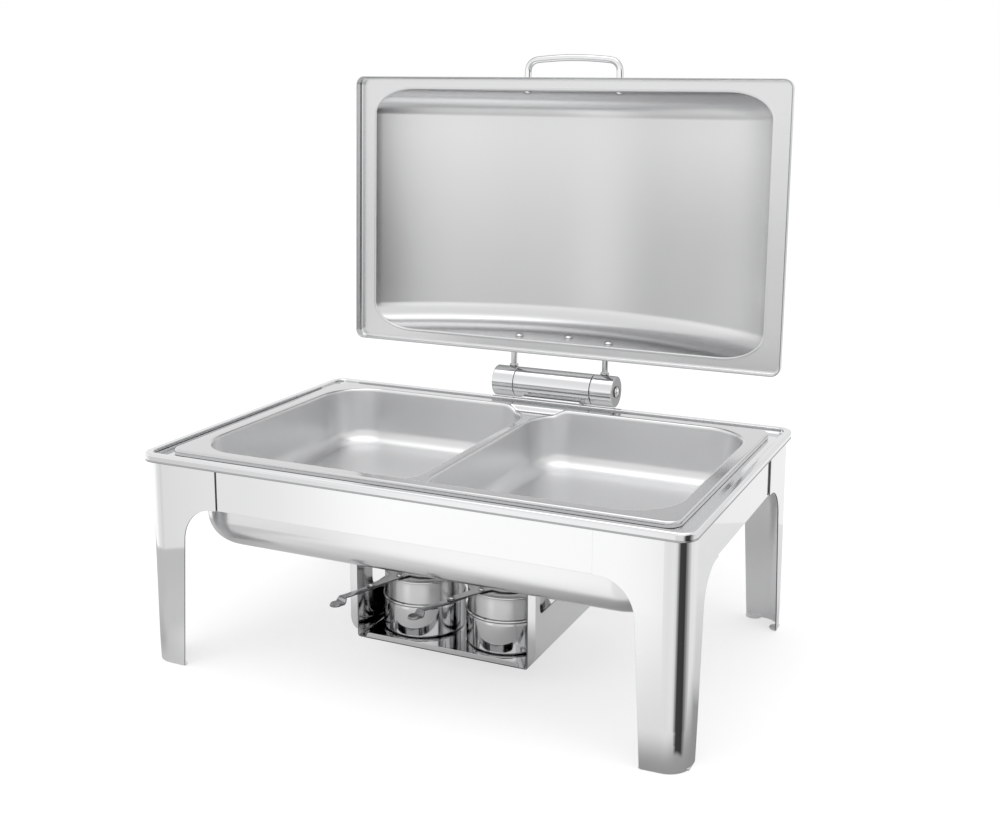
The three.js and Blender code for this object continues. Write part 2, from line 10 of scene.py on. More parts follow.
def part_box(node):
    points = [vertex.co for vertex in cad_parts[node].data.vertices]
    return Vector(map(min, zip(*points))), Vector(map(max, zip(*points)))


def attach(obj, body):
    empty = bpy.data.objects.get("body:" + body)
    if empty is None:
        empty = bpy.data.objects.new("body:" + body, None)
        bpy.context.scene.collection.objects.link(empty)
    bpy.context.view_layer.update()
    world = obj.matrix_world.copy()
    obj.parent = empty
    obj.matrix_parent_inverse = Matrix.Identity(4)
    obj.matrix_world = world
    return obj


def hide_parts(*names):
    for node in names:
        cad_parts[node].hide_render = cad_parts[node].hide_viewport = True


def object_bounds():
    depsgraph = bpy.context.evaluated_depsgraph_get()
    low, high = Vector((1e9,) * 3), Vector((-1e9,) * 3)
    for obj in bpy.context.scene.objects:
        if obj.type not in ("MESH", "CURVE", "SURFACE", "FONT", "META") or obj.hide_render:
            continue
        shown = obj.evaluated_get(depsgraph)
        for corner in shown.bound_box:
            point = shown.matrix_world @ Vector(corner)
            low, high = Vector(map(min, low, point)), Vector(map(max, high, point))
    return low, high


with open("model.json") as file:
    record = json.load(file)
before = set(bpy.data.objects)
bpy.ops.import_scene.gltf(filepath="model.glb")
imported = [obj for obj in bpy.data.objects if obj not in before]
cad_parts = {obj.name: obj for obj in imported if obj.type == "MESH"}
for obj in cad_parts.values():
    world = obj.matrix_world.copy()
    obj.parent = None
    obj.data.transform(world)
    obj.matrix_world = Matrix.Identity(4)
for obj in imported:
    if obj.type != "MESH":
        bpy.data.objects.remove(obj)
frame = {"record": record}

CAD_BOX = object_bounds()
MM = 0.001
RECORD = frame["record"]
BODY = {n: b for b, ns in RECORD["behaviour"]["bodies"].items() for n in ns}
JOINT = {j["name"]: j for j in RECORD["behaviour"]["joints"]}
rad = math.radians

# The design frame: millimetres, z = 0 is the top of the food pan's flange and y = 0 its middle.
PLO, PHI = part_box("food_pan")
OY, OZ = (PLO.y + PHI.y) / 2, PHI.z
FLOOR = -OZ / MM


def D(x, y, z):
    return (x * MM, y * MM + OY, z * MM + OZ)


def box_mm(node):
    lo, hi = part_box(node)
    return ((lo.x / MM, (lo.y - OY) / MM, (lo.z - OZ) / MM), (hi.x / MM, (hi.y - OY) / MM, (hi.z - OZ) / MM))


# ---------------------------------------------------------------- mesh helpers

def arc(cx, cy, r, a0, a1, n):
    return [(cx + r * math.cos(rad(a0 + (a1 - a0) * i / n)), cy + r * math.sin(rad(a0 + (a1 - a0) * i / n))) for i in range(n + 1)]


def rr(x0, x1, y0, y1, radii, n=14):
    """Rounded rectangle, counter-clockwise; radii run (+x+y), (-x+y), (-x-y), (+x-y)."""
    r = radii if isinstance(radii, (list, tuple)) else [radii] * 4
    c = [(x1 - r[0], y1 - r[0]), (x0 + r[1], y1 - r[1]), (x0 + r[2], y0 + r[2]), (x1 - r[3], y0 + r[3])]
    pts = []
    for k in range(4):
        pts += arc(c[k][0], c[k][1], r[k], 90 * k, 90 * k + 90, n)
    return pts


class Shape:
    """Vertices and faces of one piece, in design millimetres until it is built."""

    def __init__(self):
        self.v, self.f, self.m = [], [], []

    def face(self, idx, mat=0):
        self.f.append(tuple(idx))
        self.m.append(mat)

    def loft(self, rings, mat=0, cap0=True, cap1=True, loop=False, mats=None):
        base = []
        for ring in rings:
            base.append((len(self.v), len(ring)))
            self.v += [tuple(p) for p in ring]
        pairs = list(zip(base[:-1], base[1:])) + ([(base[-1], base[0])] if loop else [])
        for k, ((a, na), (b, nb)) in enumerate(pairs):
            mm = mats[k] if mats else mat
            if na == nb:
                for i in range(na):
                    j = (i + 1) % na
                    self.face((a + i, a + j, b + j, b + i), mm)
            elif nb == 1:
                for i in range(na):
                    self.face((a + i, a + (i + 1) % na, b), mm)
            elif na == 1:
                for i in range(nb):
                    self.face((a, b + (i + 1) % nb, b + i), mm)
        if not loop:
            if cap0 and base[0][1] > 2:
                self.face(tuple(base[0][0] + i for i in reversed(range(base[0][1]))), mats[0] if mats else mat)
            if cap1 and base[-1][1] > 2:
                self.face(tuple(base[-1][0] + i for i in range(base[-1][1])), mats[-1] if mats else mat)
        return self

    def turned(self, profile, centre, axis="Z", n=64, mat=0, mats=None):
        """A profile of (radius, height) turned about an axis through centre. A closed loop if it never meets the axis."""
        cx, cy, cz = centre
        rings = []
        for r, h in profile:
            if r < 1e-6:
                pts = [(0.0, 0.0)]
            else:
                pts = [(r * math.cos(2 * math.pi * i / n), r * math.sin(2 * math.pi * i / n)) for i in range(n)]
            if axis == "Z":
                rings.append([(cx + a, cy + b, cz + h) for a, b in pts])
            elif axis == "X":
                rings.append([(cx + h, cy + a, cz + b) for a, b in pts])
            else:
                rings.append([(cx + a, cy + h, cz - b) for a, b in pts])
        closed = profile[0][0] > 1e-6 and profile[-1][0] > 1e-6
        return self.loft(rings, mat, cap0=False, cap1=False, loop=closed, mats=mats)

    def prism(self, pts, a, b, axis="Z", mat=0):
        def put(p, h):
            return {"Z": (p[0], p[1], h), "X": (h, p[0], p[1]), "Y": (p[0], h, p[1])}[axis]
        return self.loft([[put(p, a) for p in pts], [put(p, b) for p in pts]], mat)

    def sweep(self, path, radius, n=20, mat=0):
        """A round bar along a path in one plane that holds X; path is a list of Vector."""
        rings = []
        up = None
        for i, p in enumerate(path):
            t = (path[min(i + 1, len(path) - 1)] - path[max(i - 1, 0)]).normalized()
            if up is None:
                up = Vector((0, 0, 1)) if abs(t.z) < 0.9 else Vector((0, 1, 0))
            side = t.cross(up).normalized()
            up = side.cross(t).normalized()
            rr_ = radius(i) if callable(radius) else radius
            rings.append([tuple(p + (side * math.cos(2 * math.pi * k / n) + up * math.sin(2 * math.pi * k / n)) * rr_) for k in range(n)])
        return self.loft(rings, mat)

    def sheet(self, outline, holes, points, lines, place, flip=False, mat=0, extra_edges=()):
        """A flat outline filled with triangles and carried onto a folded surface by place(s, t)."""
        vs, es = [], []

        def loop(pts):
            k = len(vs)
            vs.extend(pts)
            es.extend((k + i, k + (i + 1) % len(pts)) for i in range(len(pts)))
        loop(outline)
        for h in holes:
            loop(h)
        for a, b in lines:
            es.append((len(vs), len(vs) + 1))
            vs.extend((a, b))
        vs.extend(points)
        out = delaunay_2d_cdt([Vector(p) for p in vs], es, [], 0, 1e-5, False)
        co, tri = out[0], out[2]

        def inside(p, poly):
            c, j = False, len(poly) - 1
            for i in range(len(poly)):
                (xi, yi), (xj, yj) = poly[i], poly[j]
                if (yi > p[1]) != (yj > p[1]) and p[0] < (xj - xi) * (p[1] - yi) / (yj - yi) + xi:
                    c = not c
                j = i
            return c
        used = {}
        for t in tri:
            c = (sum(co[i][0] for i in t) / len(t), sum(co[i][1] for i in t) / len(t))
            if not inside(c, outline) or any(inside(c, h) for h in holes):
                continue
            idx = []
            for i in t:
                if i not in used:
                    used[i] = len(self.v)
                    self.v.append(place(co[i][0], co[i][1]))
                idx.append(used[i])
            self.face(idx[::-1] if flip else idx, mat)
        return self

    def moved(self, f):
        self.v = [tuple(f(*p)) for p in self.v]
        return self

    def mirrored(self, sx, sy):
        self.v = [(p[0] * sx, p[1] * sy, p[2]) for p in self.v]
        if sx * sy < 0:
            self.f = [tuple(reversed(f)) for f in self.f]
        return self

    def build(self, node, mats, solid=True, thick=None, inner=None, rim=None, bevel=None, sharp=35, merge=1e-5, matrix=None, weighted=True, bevel_angle=40, bevel_mat=None):
        name = node + "_skin"
        me = bpy.data.meshes.new(name)
        me.from_pydata([D(*p) for p in self.v], [], self.f)
        for m in mats:
            me.materials.append(m)
        me.polygons.foreach_set("material_index", self.m)
        bm = bmesh.new()
        bm.from_mesh(me)
        bmesh.ops.remove_doubles(bm, verts=bm.verts, dist=merge)
        bmesh.ops.dissolve_degenerate(bm, dist=1e-7, edges=bm.edges)
        if solid:
            bmesh.ops.recalc_face_normals(bm, faces=bm.faces)
        if matrix is not None:
            bm.transform(matrix)
        for f in bm.faces:
            f.smooth = True
        bm.to_mesh(me)
        bm.free()
        me.set_sharp_from_angle(angle=rad(sharp))
        obj = bpy.data.objects.new(name, me)
        bpy.context.scene.collection.objects.link(obj)
        if thick:
            s = obj.modifiers.new("sheet", "SOLIDIFY")
            s.thickness, s.offset, s.use_even_offset, s.use_quality_normals = thick * MM, -1, True, True
            if inner is not None:
                s.material_offset = inner
            if rim is not None:
                s.material_offset_rim = rim
        if bevel:
            b = obj.modifiers.new("edges", "BEVEL")
            b.width, b.segments, b.limit_method, b.angle_limit, b.harden_normals = bevel * MM, 2, "ANGLE", rad(bevel_angle), True
            b.use_clamp_overlap = True
            if bevel_mat is not None:
                b.material = bevel_mat
        if weighted:
            w = obj.modifiers.new("normals", "WEIGHTED_NORMAL")
            w.mode, w.weight, w.keep_sharp = "FACE_AREA", 60, True
        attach(obj, BODY[node])
        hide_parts(node)
        return obj


# ---------------------------------------------------------------- materials

def steel(name, colour, rough, spread=0.05, grain=None, grain_bump=0.0, wave=0.0, wave_scale=9.0, smudge=0.05, scratch=0.0, aniso=0.0, radial=False, dark_edge=0.0, tint=0.02, grain_scale=1.0, painted_limb_shade=0.0):
    """Stainless sheet: grain runs along one axis, roughness drifts with handling marks, and a slow wave bends the reflections."""
    m = bpy.data.materials.new(name)
    m.use_nodes = True
    nt = m.node_tree
    nt.nodes.clear()

    def node(kind, **kw):
        n = nt.nodes.new(kind)
        for k, v in kw.items():
            if hasattr(n, k):
                setattr(n, k, v)
            else:
                n.inputs[k].default_value = v
        return n

    def link(a, b):
        nt.links.new(a, b)

    def math_(op, a, b=None, clamp=False):
        n = nt.nodes.new("ShaderNodeMath")
        n.operation, n.use_clamp = op, clamp
        for i, x in enumerate((a, b)):
            if x is None:
                continue
            if isinstance(x, (int, float)):
                n.inputs[i].default_value = x
            else:
                link(x, n.inputs[i])
        return n.outputs[0]

    out = node("ShaderNodeOutputMaterial")
    bsdf = node("ShaderNodeBsdfPrincipled")
    bsdf.inputs["Metallic"].default_value = 1.0
    link(bsdf.outputs[0], out.inputs[0])
    tc = node("ShaderNodeTexCoord")

    def noise(scale, detail, vec=(1, 1, 1), rough_=0.55, offset=(0, 0, 0), dist=0.0):
        mp = node("ShaderNodeMapping")
        mp.inputs["Scale"].default_value = vec
        mp.inputs["Location"].default_value = offset
        link(tc.outputs["Object"], mp.inputs["Vector"])
        n = node("ShaderNodeTexNoise")
        n.inputs["Scale"].default_value = scale
        n.inputs["Detail"].default_value = detail
        n.inputs["Roughness"].default_value = rough_
        n.inputs["Distortion"].default_value = dist
        link(mp.outputs[0], n.inputs["Vector"])
        return n.outputs["Fac"]

    smudges = noise(14, 4, offset=(3.1, 1.7, 0.4))
    broad = noise(3.2, 2, offset=(0.7, 5.2, 2.4))
    r = math_("ADD", rough, math_("MULTIPLY", math_("SUBTRACT", smudges, 0.5), smudge))
    r = math_("ADD", r, math_("MULTIPLY", math_("SUBTRACT", broad, 0.5), spread))
    heights = []
    if grain:
        v = {"X": (6, 620, 620), "Y": (620, 6, 620), "Z": (620, 620, 6)}[grain]
        g = noise(1.3 * grain_scale, 3, vec=v, rough_=0.6)
        g2 = noise(0.45 * grain_scale, 2, vec=v, rough_=0.5, offset=(9, 4, 2))
        both = math_("ADD", math_("MULTIPLY", g, 0.6), math_("MULTIPLY", g2, 0.4))
        r = math_("ADD", r, math_("MULTIPLY", math_("SUBTRACT", both, 0.5), 0.06))
        heights.append((both, grain_bump))
    if scratch:
        s = noise(3.0, 2, vec=(18, 300, 90), rough_=0.7, offset=(1.2, 0.3, 7.7), dist=0.4)
        line = math_("MULTIPLY", math_("SUBTRACT", s, 0.66, True), 6.0, True)
        r = math_("ADD", r, math_("MULTIPLY", line, scratch))
    r = math_("MAXIMUM", r, 0.015)
    link(math_("MINIMUM", r, 0.9), bsdf.inputs["Roughness"])
    # colour drifts a little with the same marks
    ramp = node("ShaderNodeMix")
    ramp.data_type = "RGBA"
    ramp.inputs["A"].default_value = (colour[0] * (1 - tint), colour[1] * (1 - tint), colour[2] * (1 - tint), 1)
    ramp.inputs["B"].default_value = (min(1, colour[0] * (1 + tint)), min(1, colour[1] * (1 + tint)), min(1, colour[2] * (1 + tint)), 1)
    link(math_("ADD", math_("MULTIPLY", smudges, 0.5), math_("MULTIPLY", broad, 0.5)), ramp.inputs["Factor"])
    colour_out = ramp.outputs["Result"]
    if dark_edge:
        # pores and tool marks on a sheared edge
        e = noise(900, 2, offset=(2, 2, 2))
        mix = node("ShaderNodeMix")
        mix.data_type = "RGBA"
        mix.inputs["B"].default_value = (colour[0] * (1 - dark_edge), colour[1] * (1 - dark_edge), colour[2] * (1 - dark_edge), 1)
        link(colour_out, mix.inputs["A"])
        link(e, mix.inputs["Factor"])
        colour_out = mix.outputs["Result"]
    if painted_limb_shade:
        # painted reflection: the base colour and edge tint darken towards grazing angles, standing in for the dark
        # outline round chrome takes from the unlit sides of the room
        lw = node("ShaderNodeLayerWeight")
        lw.inputs["Blend"].default_value = 0.5
        mr = node("ShaderNodeMapRange")
        mr.interpolation_type = "SMOOTHSTEP"
        link(lw.outputs["Facing"], mr.inputs["Value"])
        mr.inputs["From Min"].default_value, mr.inputs["From Max"].default_value = 0.30, 0.78
        mr.inputs["To Min"].default_value, mr.inputs["To Max"].default_value = 0.0, 1.0
        mix = node("ShaderNodeMix")
        mix.data_type = "RGBA"
        mix.inputs["B"].default_value = (colour[0] * (1 - painted_limb_shade), colour[1] * (1 - painted_limb_shade), colour[2] * (1 - painted_limb_shade), 1)
        link(colour_out, mix.inputs["A"])
        link(mr.outputs["Result"], mix.inputs["Factor"])
        colour_out = mix.outputs["Result"]
        link(mix.outputs["Result"], bsdf.inputs["Specular Tint"])
    link(colour_out, bsdf.inputs["Base Color"])
    if aniso:
        bsdf.inputs["Anisotropic"].default_value = aniso
        tg = node("ShaderNodeTangent")
        tg.direction_type = "RADIAL"
        tg.axis = "Z" if radial else "X"
        link(tg.outputs[0], bsdf.inputs["Tangent"])
    last = None
    if wave:
        w = noise(wave_scale, 1.5, offset=(4.4, 2.2, 8.8), rough_=0.4)
        heights.append((w, wave))
    for h, strength in heights:
        if not strength:
            continue
        b = node("ShaderNodeBump")
        b.inputs["Strength"].default_value = 1.0
        b.inputs["Distance"].default_value = strength
        link(h, b.inputs["Height"])
        if last is not None:
            link(last, b.inputs["Normal"])
        last = b.outputs[0]
    if last is not None:
        link(last, bsdf.inputs["Normal"])
    return m


SATIN = steel("satin_lid", (0.69, 0.693, 0.696), 0.24, 0.03, grain="X", grain_bump=0.0000006, smudge=0.03, wave=0.00003, wave_scale=6, scratch=0.02)
SATIN_BAY = steel("satin_bay", (0.74, 0.743, 0.746), 0.33, 0.04, grain="Z", grain_bump=0.0000012, smudge=0.05, wave=0.00004, wave_scale=9, scratch=0.02)
SATIN_PAN = steel("satin_pan", (0.63, 0.633, 0.636), 0.13, 0.03, grain="X", grain_bump=0.0000012, smudge=0.03, wave=0.00003, wave_scale=8, scratch=0.02)
WELL_OUT = steel("satin_well", (0.84, 0.843, 0.846), 0.20, 0.04, grain="X", grain_bump=0.0000012, smudge=0.03, wave=0.00006, wave_scale=7, scratch=0.02)
MIRROR = steel("mirror_sheet", (0.84, 0.843, 0.846), 0.035, 0.015, smudge=0.02, wave=0.00005, wave_scale=5, scratch=0.03)
RIM_MIRROR = steel("rim_polish", (0.76, 0.765, 0.77), 0.09, 0.03, smudge=0.04, wave=0.00002, wave_scale=14, scratch=0.04)
BRUSHED = steel("brushed_back", (0.80, 0.805, 0.81), 0.30, 0.05, grain="Z", grain_bump=0.000003, smudge=0.06)
# partly painted shade: cut sheet edges are duller than the faces, and the dark colour also stands in for the shade in
# the seams and along the edges
CUT_AND_SHADE_M = steel("sheared_edge_and_painted_shade", (0.26, 0.265, 0.27), 0.36, 0.08, grain="Z", grain_bump=0.000004, dark_edge=0.4)
# painted reflection: on the fittings below, the last argument darkens the base colour towards grazing angles
CHROME = steel("chrome_fittings", (0.80, 0.805, 0.81), 0.045, 0.02, smudge=0.03, wave=0.00001, wave_scale=30, scratch=0.04, painted_limb_shade=0.70)
BARREL_M = steel("chrome_barrel", (0.74, 0.745, 0.75), 0.05, 0.02, smudge=0.04, wave=0.00002, wave_scale=22, scratch=0.05, painted_limb_shade=0.40)
SCREW_M = steel("screw_heads", (0.80, 0.805, 0.81), 0.12, 0.04, smudge=0.06, scratch=0.05, painted_limb_shade=0.75)
TRAY_M = steel("tray_mirror", (0.74, 0.743, 0.746), 0.06, 0.03, smudge=0.04, wave=0.00006, wave_scale=10, scratch=0.05)
CAN_M = steel("burner_can", (0.67, 0.673, 0.676), 0.10, 0.03, grain="Z", grain_bump=0.000002, smudge=0.05, wave=0.00004, wave_scale=16, scratch=0.05, grain_scale=0.6, painted_limb_shade=0.35)
COLLAR_M = steel("burner_collar", (0.70, 0.70, 0.70), 0.20, 0.04, smudge=0.05, scratch=0.05, painted_limb_shade=0.3)
GRIP_M = steel("burner_grip", (0.46, 0.465, 0.47), 0.18, 0.05, smudge=0.06, scratch=0.08, wave=0.00004, wave_scale=30)
# painted shade: the rolled hems of the lid's lip and the water pan's rim take a dark colour for the dark line along
# them
HEM_SHADE_M = steel("hem_painted_shade", (0.40, 0.405, 0.41), 0.20, 0.05, smudge=0.06, scratch=0.06)
SOOT = steel("flame_mouth", (0.30, 0.30, 0.30), 0.35, 0.10, smudge=0.15, dark_edge=0.5)

# ---------------------------------------------------------------- stand

LX, LY = box_mm("leg_front_right")[1][0], -box_mm("leg_front_right")[0][1]  # outer faces of the legs
LTOP = box_mm("leg_front_right")[1][2]
LR, PLATE = 22.0, 1.2
SEAM, SEAM_Z, KNEE_Z = 86.5, box_mm("front_apron")[0][2], -86.0
KNEE, FOOT = (47.5, 44.0), (41.0, 32.0)  # front or rear face, side face
BEND = LR * math.pi / 4


def leg(node, sx, sy):
    def S(u):
        return u - LR + BEND

    def half(face):
        pts = [(S(SEAM), LTOP), (S(SEAM), SEAM_Z), (S(SEAM - 5), SEAM_Z)]
        run, drop = SEAM - 5 - KNEE[face], SEAM_Z - KNEE_Z
        pts += [(S(SEAM - 5 - run * math.sin(rad(a))), SEAM_Z - drop * (1 - math.cos(rad(a)))) for a in range(5, 91, 5)]
        pts += [(S(FOOT[face]), FLOOR + 2.0), (S(FOOT[face]) - 0.6, FLOOR + 0.6), (S(FOOT[face]) - 2.0, FLOOR)]
        return pts
    outline = half(1) + [(-s, z) for s, z in reversed(half(0))]
    outline = outline[::-1]
    lines = [((-BEND + 2 * BEND * i / 20, LTOP + 1), (-BEND + 2 * BEND * i / 20, FLOOR - 1)) for i in range(21)]
    lines += [((-BEND - 1.2, LTOP + 1), (-BEND - 1.2, FLOOR - 1)), ((BEND + 1.2, LTOP + 1), (BEND + 1.2, FLOOR - 1))]
    lines += [((-120, z), (120, z)) for z in [FLOOR + 2.5 * k for k in range(1, 17)]]
    lines += [((s * (BEND + 4 * k), FLOOR + 45), (s * (BEND + 4 * k), FLOOR - 1)) for s in (-1, 1) for k in range(1, 4)]

    def place(s, z):
        if s < -BEND:
            p, nrm = (LX - LR + (s + BEND), -LY), (0, -1)
        elif s > BEND:
            p, nrm = (LX, -LY + LR + (s - BEND)), (1, 0)
        else:
            a = s / LR + math.pi / 4
            p, nrm = (LX - LR + LR * math.sin(a), -LY + LR - LR * math.cos(a)), (math.sin(a), -math.cos(a))
        # the faces are eased in a touch towards the foot, where the sheet was pressed
        k = max(0.0, 1 - (z - FLOOR) / 40.0)
        edge = min(1.0, max(0.0, (abs(s) - BEND) / 16.0))
        d = -0.55 * k * k * (1 - edge)
        return (p[0] + nrm[0] * d, p[1] + nrm[1] * d, z)
    sh = Shape().sheet(outline, [], [], lines, place, flip=True)
    # foot tabs, folded inward at the free edge of each face
    tabs = Shape()
    for turn in (0, 1):
        c = LX - FOOT[turn] + 8.5
        pts = [(c + 9 * math.cos(rad(a)), -LY + 0.5 + 9 * math.sin(rad(a))) for a in range(0, 181, 12)]
        if turn:
            pts = [(LX + (-LY - y), -LY + (LX - x)) for x, y in pts]
        tabs.prism(pts, FLOOR, FLOOR + 1.4, "Z", mat=1)
    # the bevels take material 2 as well: painted shade along the legs' edges and seams
    obj = sh.mirrored(sx, sy).build(node, [MIRROR, BRUSHED, CUT_AND_SHADE_M], solid=False, thick=PLATE, inner=1, rim=2, bevel=0.55, sharp=30, bevel_mat=2)
    if sum((f.normal.x * sx - f.normal.y * sy) * f.area for f in obj.data.polygons) < 0:
        obj.data.flip_normals()
    t = tabs.mirrored(sx, sy)
    add = t.build(node, [MIRROR, BRUSHED, CUT_AND_SHADE_M], solid=True, bevel=0.3, sharp=30)
    return obj, add


def join_into(obj, extra):
    """Applies both pieces' modifiers and joins extra into obj, so that one piece stands for one node."""
    dg = bpy.context.evaluated_depsgraph_get()
    bm = bmesh.new()
    for o in (obj, extra):
        me = bpy.data.meshes.new_from_object(o.evaluated_get(dg), preserve_all_data_layers=True, depsgraph=dg)
        bm.from_mesh(me)
        bpy.data.meshes.remove(me)
    obj.modifiers.clear()
    bm.to_mesh(obj.data)
    bm.free()
    obj.data.set_sharp_from_angle(angle=rad(30))
    w = obj.modifiers.new("normals", "WEIGHTED_NORMAL")
    w.mode, w.weight, w.keep_sharp = "FACE_AREA", 60, True
    bpy.data.objects.remove(extra)
    return obj


for node, sx, sy in (("leg_front_right", 1, 1), ("leg_front_left", -1, 1), ("leg_rear_right", 1, -1), ("leg_rear_left", -1, -1)):
    join_into(*leg(node, sx, sy))


def apron(node, along, sign):
    lo, hi = box_mm(node)
    t = 1.2
    if along == "X":
        a, b = lo[0], hi[0]
        outer, inner = (lo[1], hi[1]) if sign < 0 else (hi[1], lo[1])
        z0, z1 = lo[2], hi[2]
    else:
        a, b = lo[1], hi[1]
        outer, inner = (hi[0], lo[0]) if sign > 0 else (lo[0], hi[0])
        z0, z1 = lo[2], hi[2]
    d = 1 if inner > outer else -1
    pts = [(outer, z0), (outer, z1 - 2.2)]
    pts += [(outer + d * 2.2 * (1 - math.cos(rad(q))), z1 - 2.2 + 2.2 * math.sin(rad(q))) for q in (22.5, 45, 67.5, 90)]
    pts += [(inner, z1), (inner, z1 - t), (outer + d * 2.4, z1 - t), (outer + d * t, z1 - 2.4), (outer + d * t, z0)]
    return Shape().prism(pts, a, b, along if along == "X" else "Y").build(node, [MIRROR], bevel=0.25, sharp=30)


apron("front_apron", "X", -1)
apron("rear_apron", "X", 1)
apron("right_apron", "Y", 1)
apron("left_apron", "Y", -1)

# ---------------------------------------------------------------- water pan

wlo, whi = box_mm("water_pan")
RX, RY, RTOP = whi[0], (whi[1] - wlo[1]) / 2, whi[2]


def ring(hx, hy, r, z, n=14):
    return [(x, y, z) for x, y in rr(-hx, hx, -hy, hy, max(r, 0.3), n)]


def water_pan():
    rings = []
    wx, wy, wr, low, bend = 254.0, 151.5, 53.0, wlo[2] + 1.0, 30.0
    for i in range(9):
        a = rad(90 * i / 8)
        ins = bend * (1 - math.sin(a))
        rings.append(ring(wx - ins, wy - ins, wr - ins, low + bend * (1 - math.cos(a))))
    for i in range(5):
        a = rad(90 * i / 4)
        o = 3 * (1 - math.cos(a))
        rings.append(ring(wx + o, wy + o, wr + o, -9 + 3 * math.sin(a)))
    lx, ly, lr = RX - 8.0, RY - 8.0, 8.0
    rings.append(ring(lx - 6, ly - 6, lr + 2, -6))
    for i in range(5):
        a = rad(90 * i / 4)
        o = 2 * (1 - math.sin(a))
        rings.append(ring(lx - o, ly - o, lr + 1 - o, -4 - 2 * math.cos(a)))
    for i in range(1, 5):
        a = rad(90 * i / 4)
        o = 1.6 * (1 - math.cos(a))
        rings.append(ring(lx + o, ly + o, lr + 1 + o, RTOP - 1.6 + 1.6 * math.sin(a)))
    # the rim's top dips a touch before the outer roll
    rings.append(ring(lx + 3.6, ly + 3.6, lr + 4.4, RTOP - 0.35))
    for i in range(7):
        a = rad(180 * i / 12)
        o = 2.6 * (1 - math.sin(a))
        rings.append(ring(RX - o, RY - o, 16 - o, RTOP - 2.6 + 2.6 * math.cos(a)))
    rings.append(ring(RX - 0.25, RY - 0.25, 15.75, -5.2))
    rings.append(ring(RX - 0.35, RY - 0.35, 15.65, -7.0))
    # hem at the lower edge
    hem0 = len(rings)
    for a in (60, 20, -20, -60, -90, -120, -160):
        rings.append(ring(RX - 0.75 + 0.75 * math.cos(rad(a)), RY - 0.75 + 0.75 * math.cos(rad(a)), 15.25 + 0.75 * math.cos(rad(a)), -8.35 + 0.75 * math.sin(rad(a))))
    rings.append(ring(RX - 1.3, RY - 1.3, 14.7, -2.4))
    rings.append(ring(RX - 2.2, RY - 2.2, 13.8, -1.6))
    rings.append(ring(lx + 2.2, ly + 2.2, lr + 2.4, -1.6))
    rings.append(ring(lx + 1.0, ly + 1.0, lr + 2, -2.6))
    rings.append(ring(lx + 1.0, ly + 1.0, lr + 2, -6.2))
    rings.append(ring(lx + 0.2, ly + 0.2, lr + 1.2, -7.0))
    o_split = len(rings)
    for i in range(5):
        a = rad(90 * i / 4)
        o = 2 * (1 - math.sin(a))
        rings.append(ring(wx + 1 + o, wy + 1 + o, wr + 1 + o, -9 + 2 * math.cos(a)))
    for i in range(13):
        a = rad(90 * i / 12)
        ins = 31 * (1 - math.cos(a))
        rings.append(ring(wx + 1 - ins, wy + 1 - ins, wr + 1 - ins, low + bend - 31 * math.sin(a)))
    # material 3 on the hem rings is painted shade: the dark line where the rim meets the legs
    mats = []
    for k in range(len(rings)):
        mats.append(0 if k < 13 else (3 if hem0 - 1 <= k < hem0 + 6 else (1 if k < o_split else 2)))
    mats[-1] = 2
    s = Shape().loft(rings, cap0=True, cap1=True, mats=mats)
    return s.build("water_pan", [SATIN_PAN, RIM_MIRROR, WELL_OUT, HEM_SHADE_M], sharp=50)


water_pan()

# ---------------------------------------------------------------- divided food pan


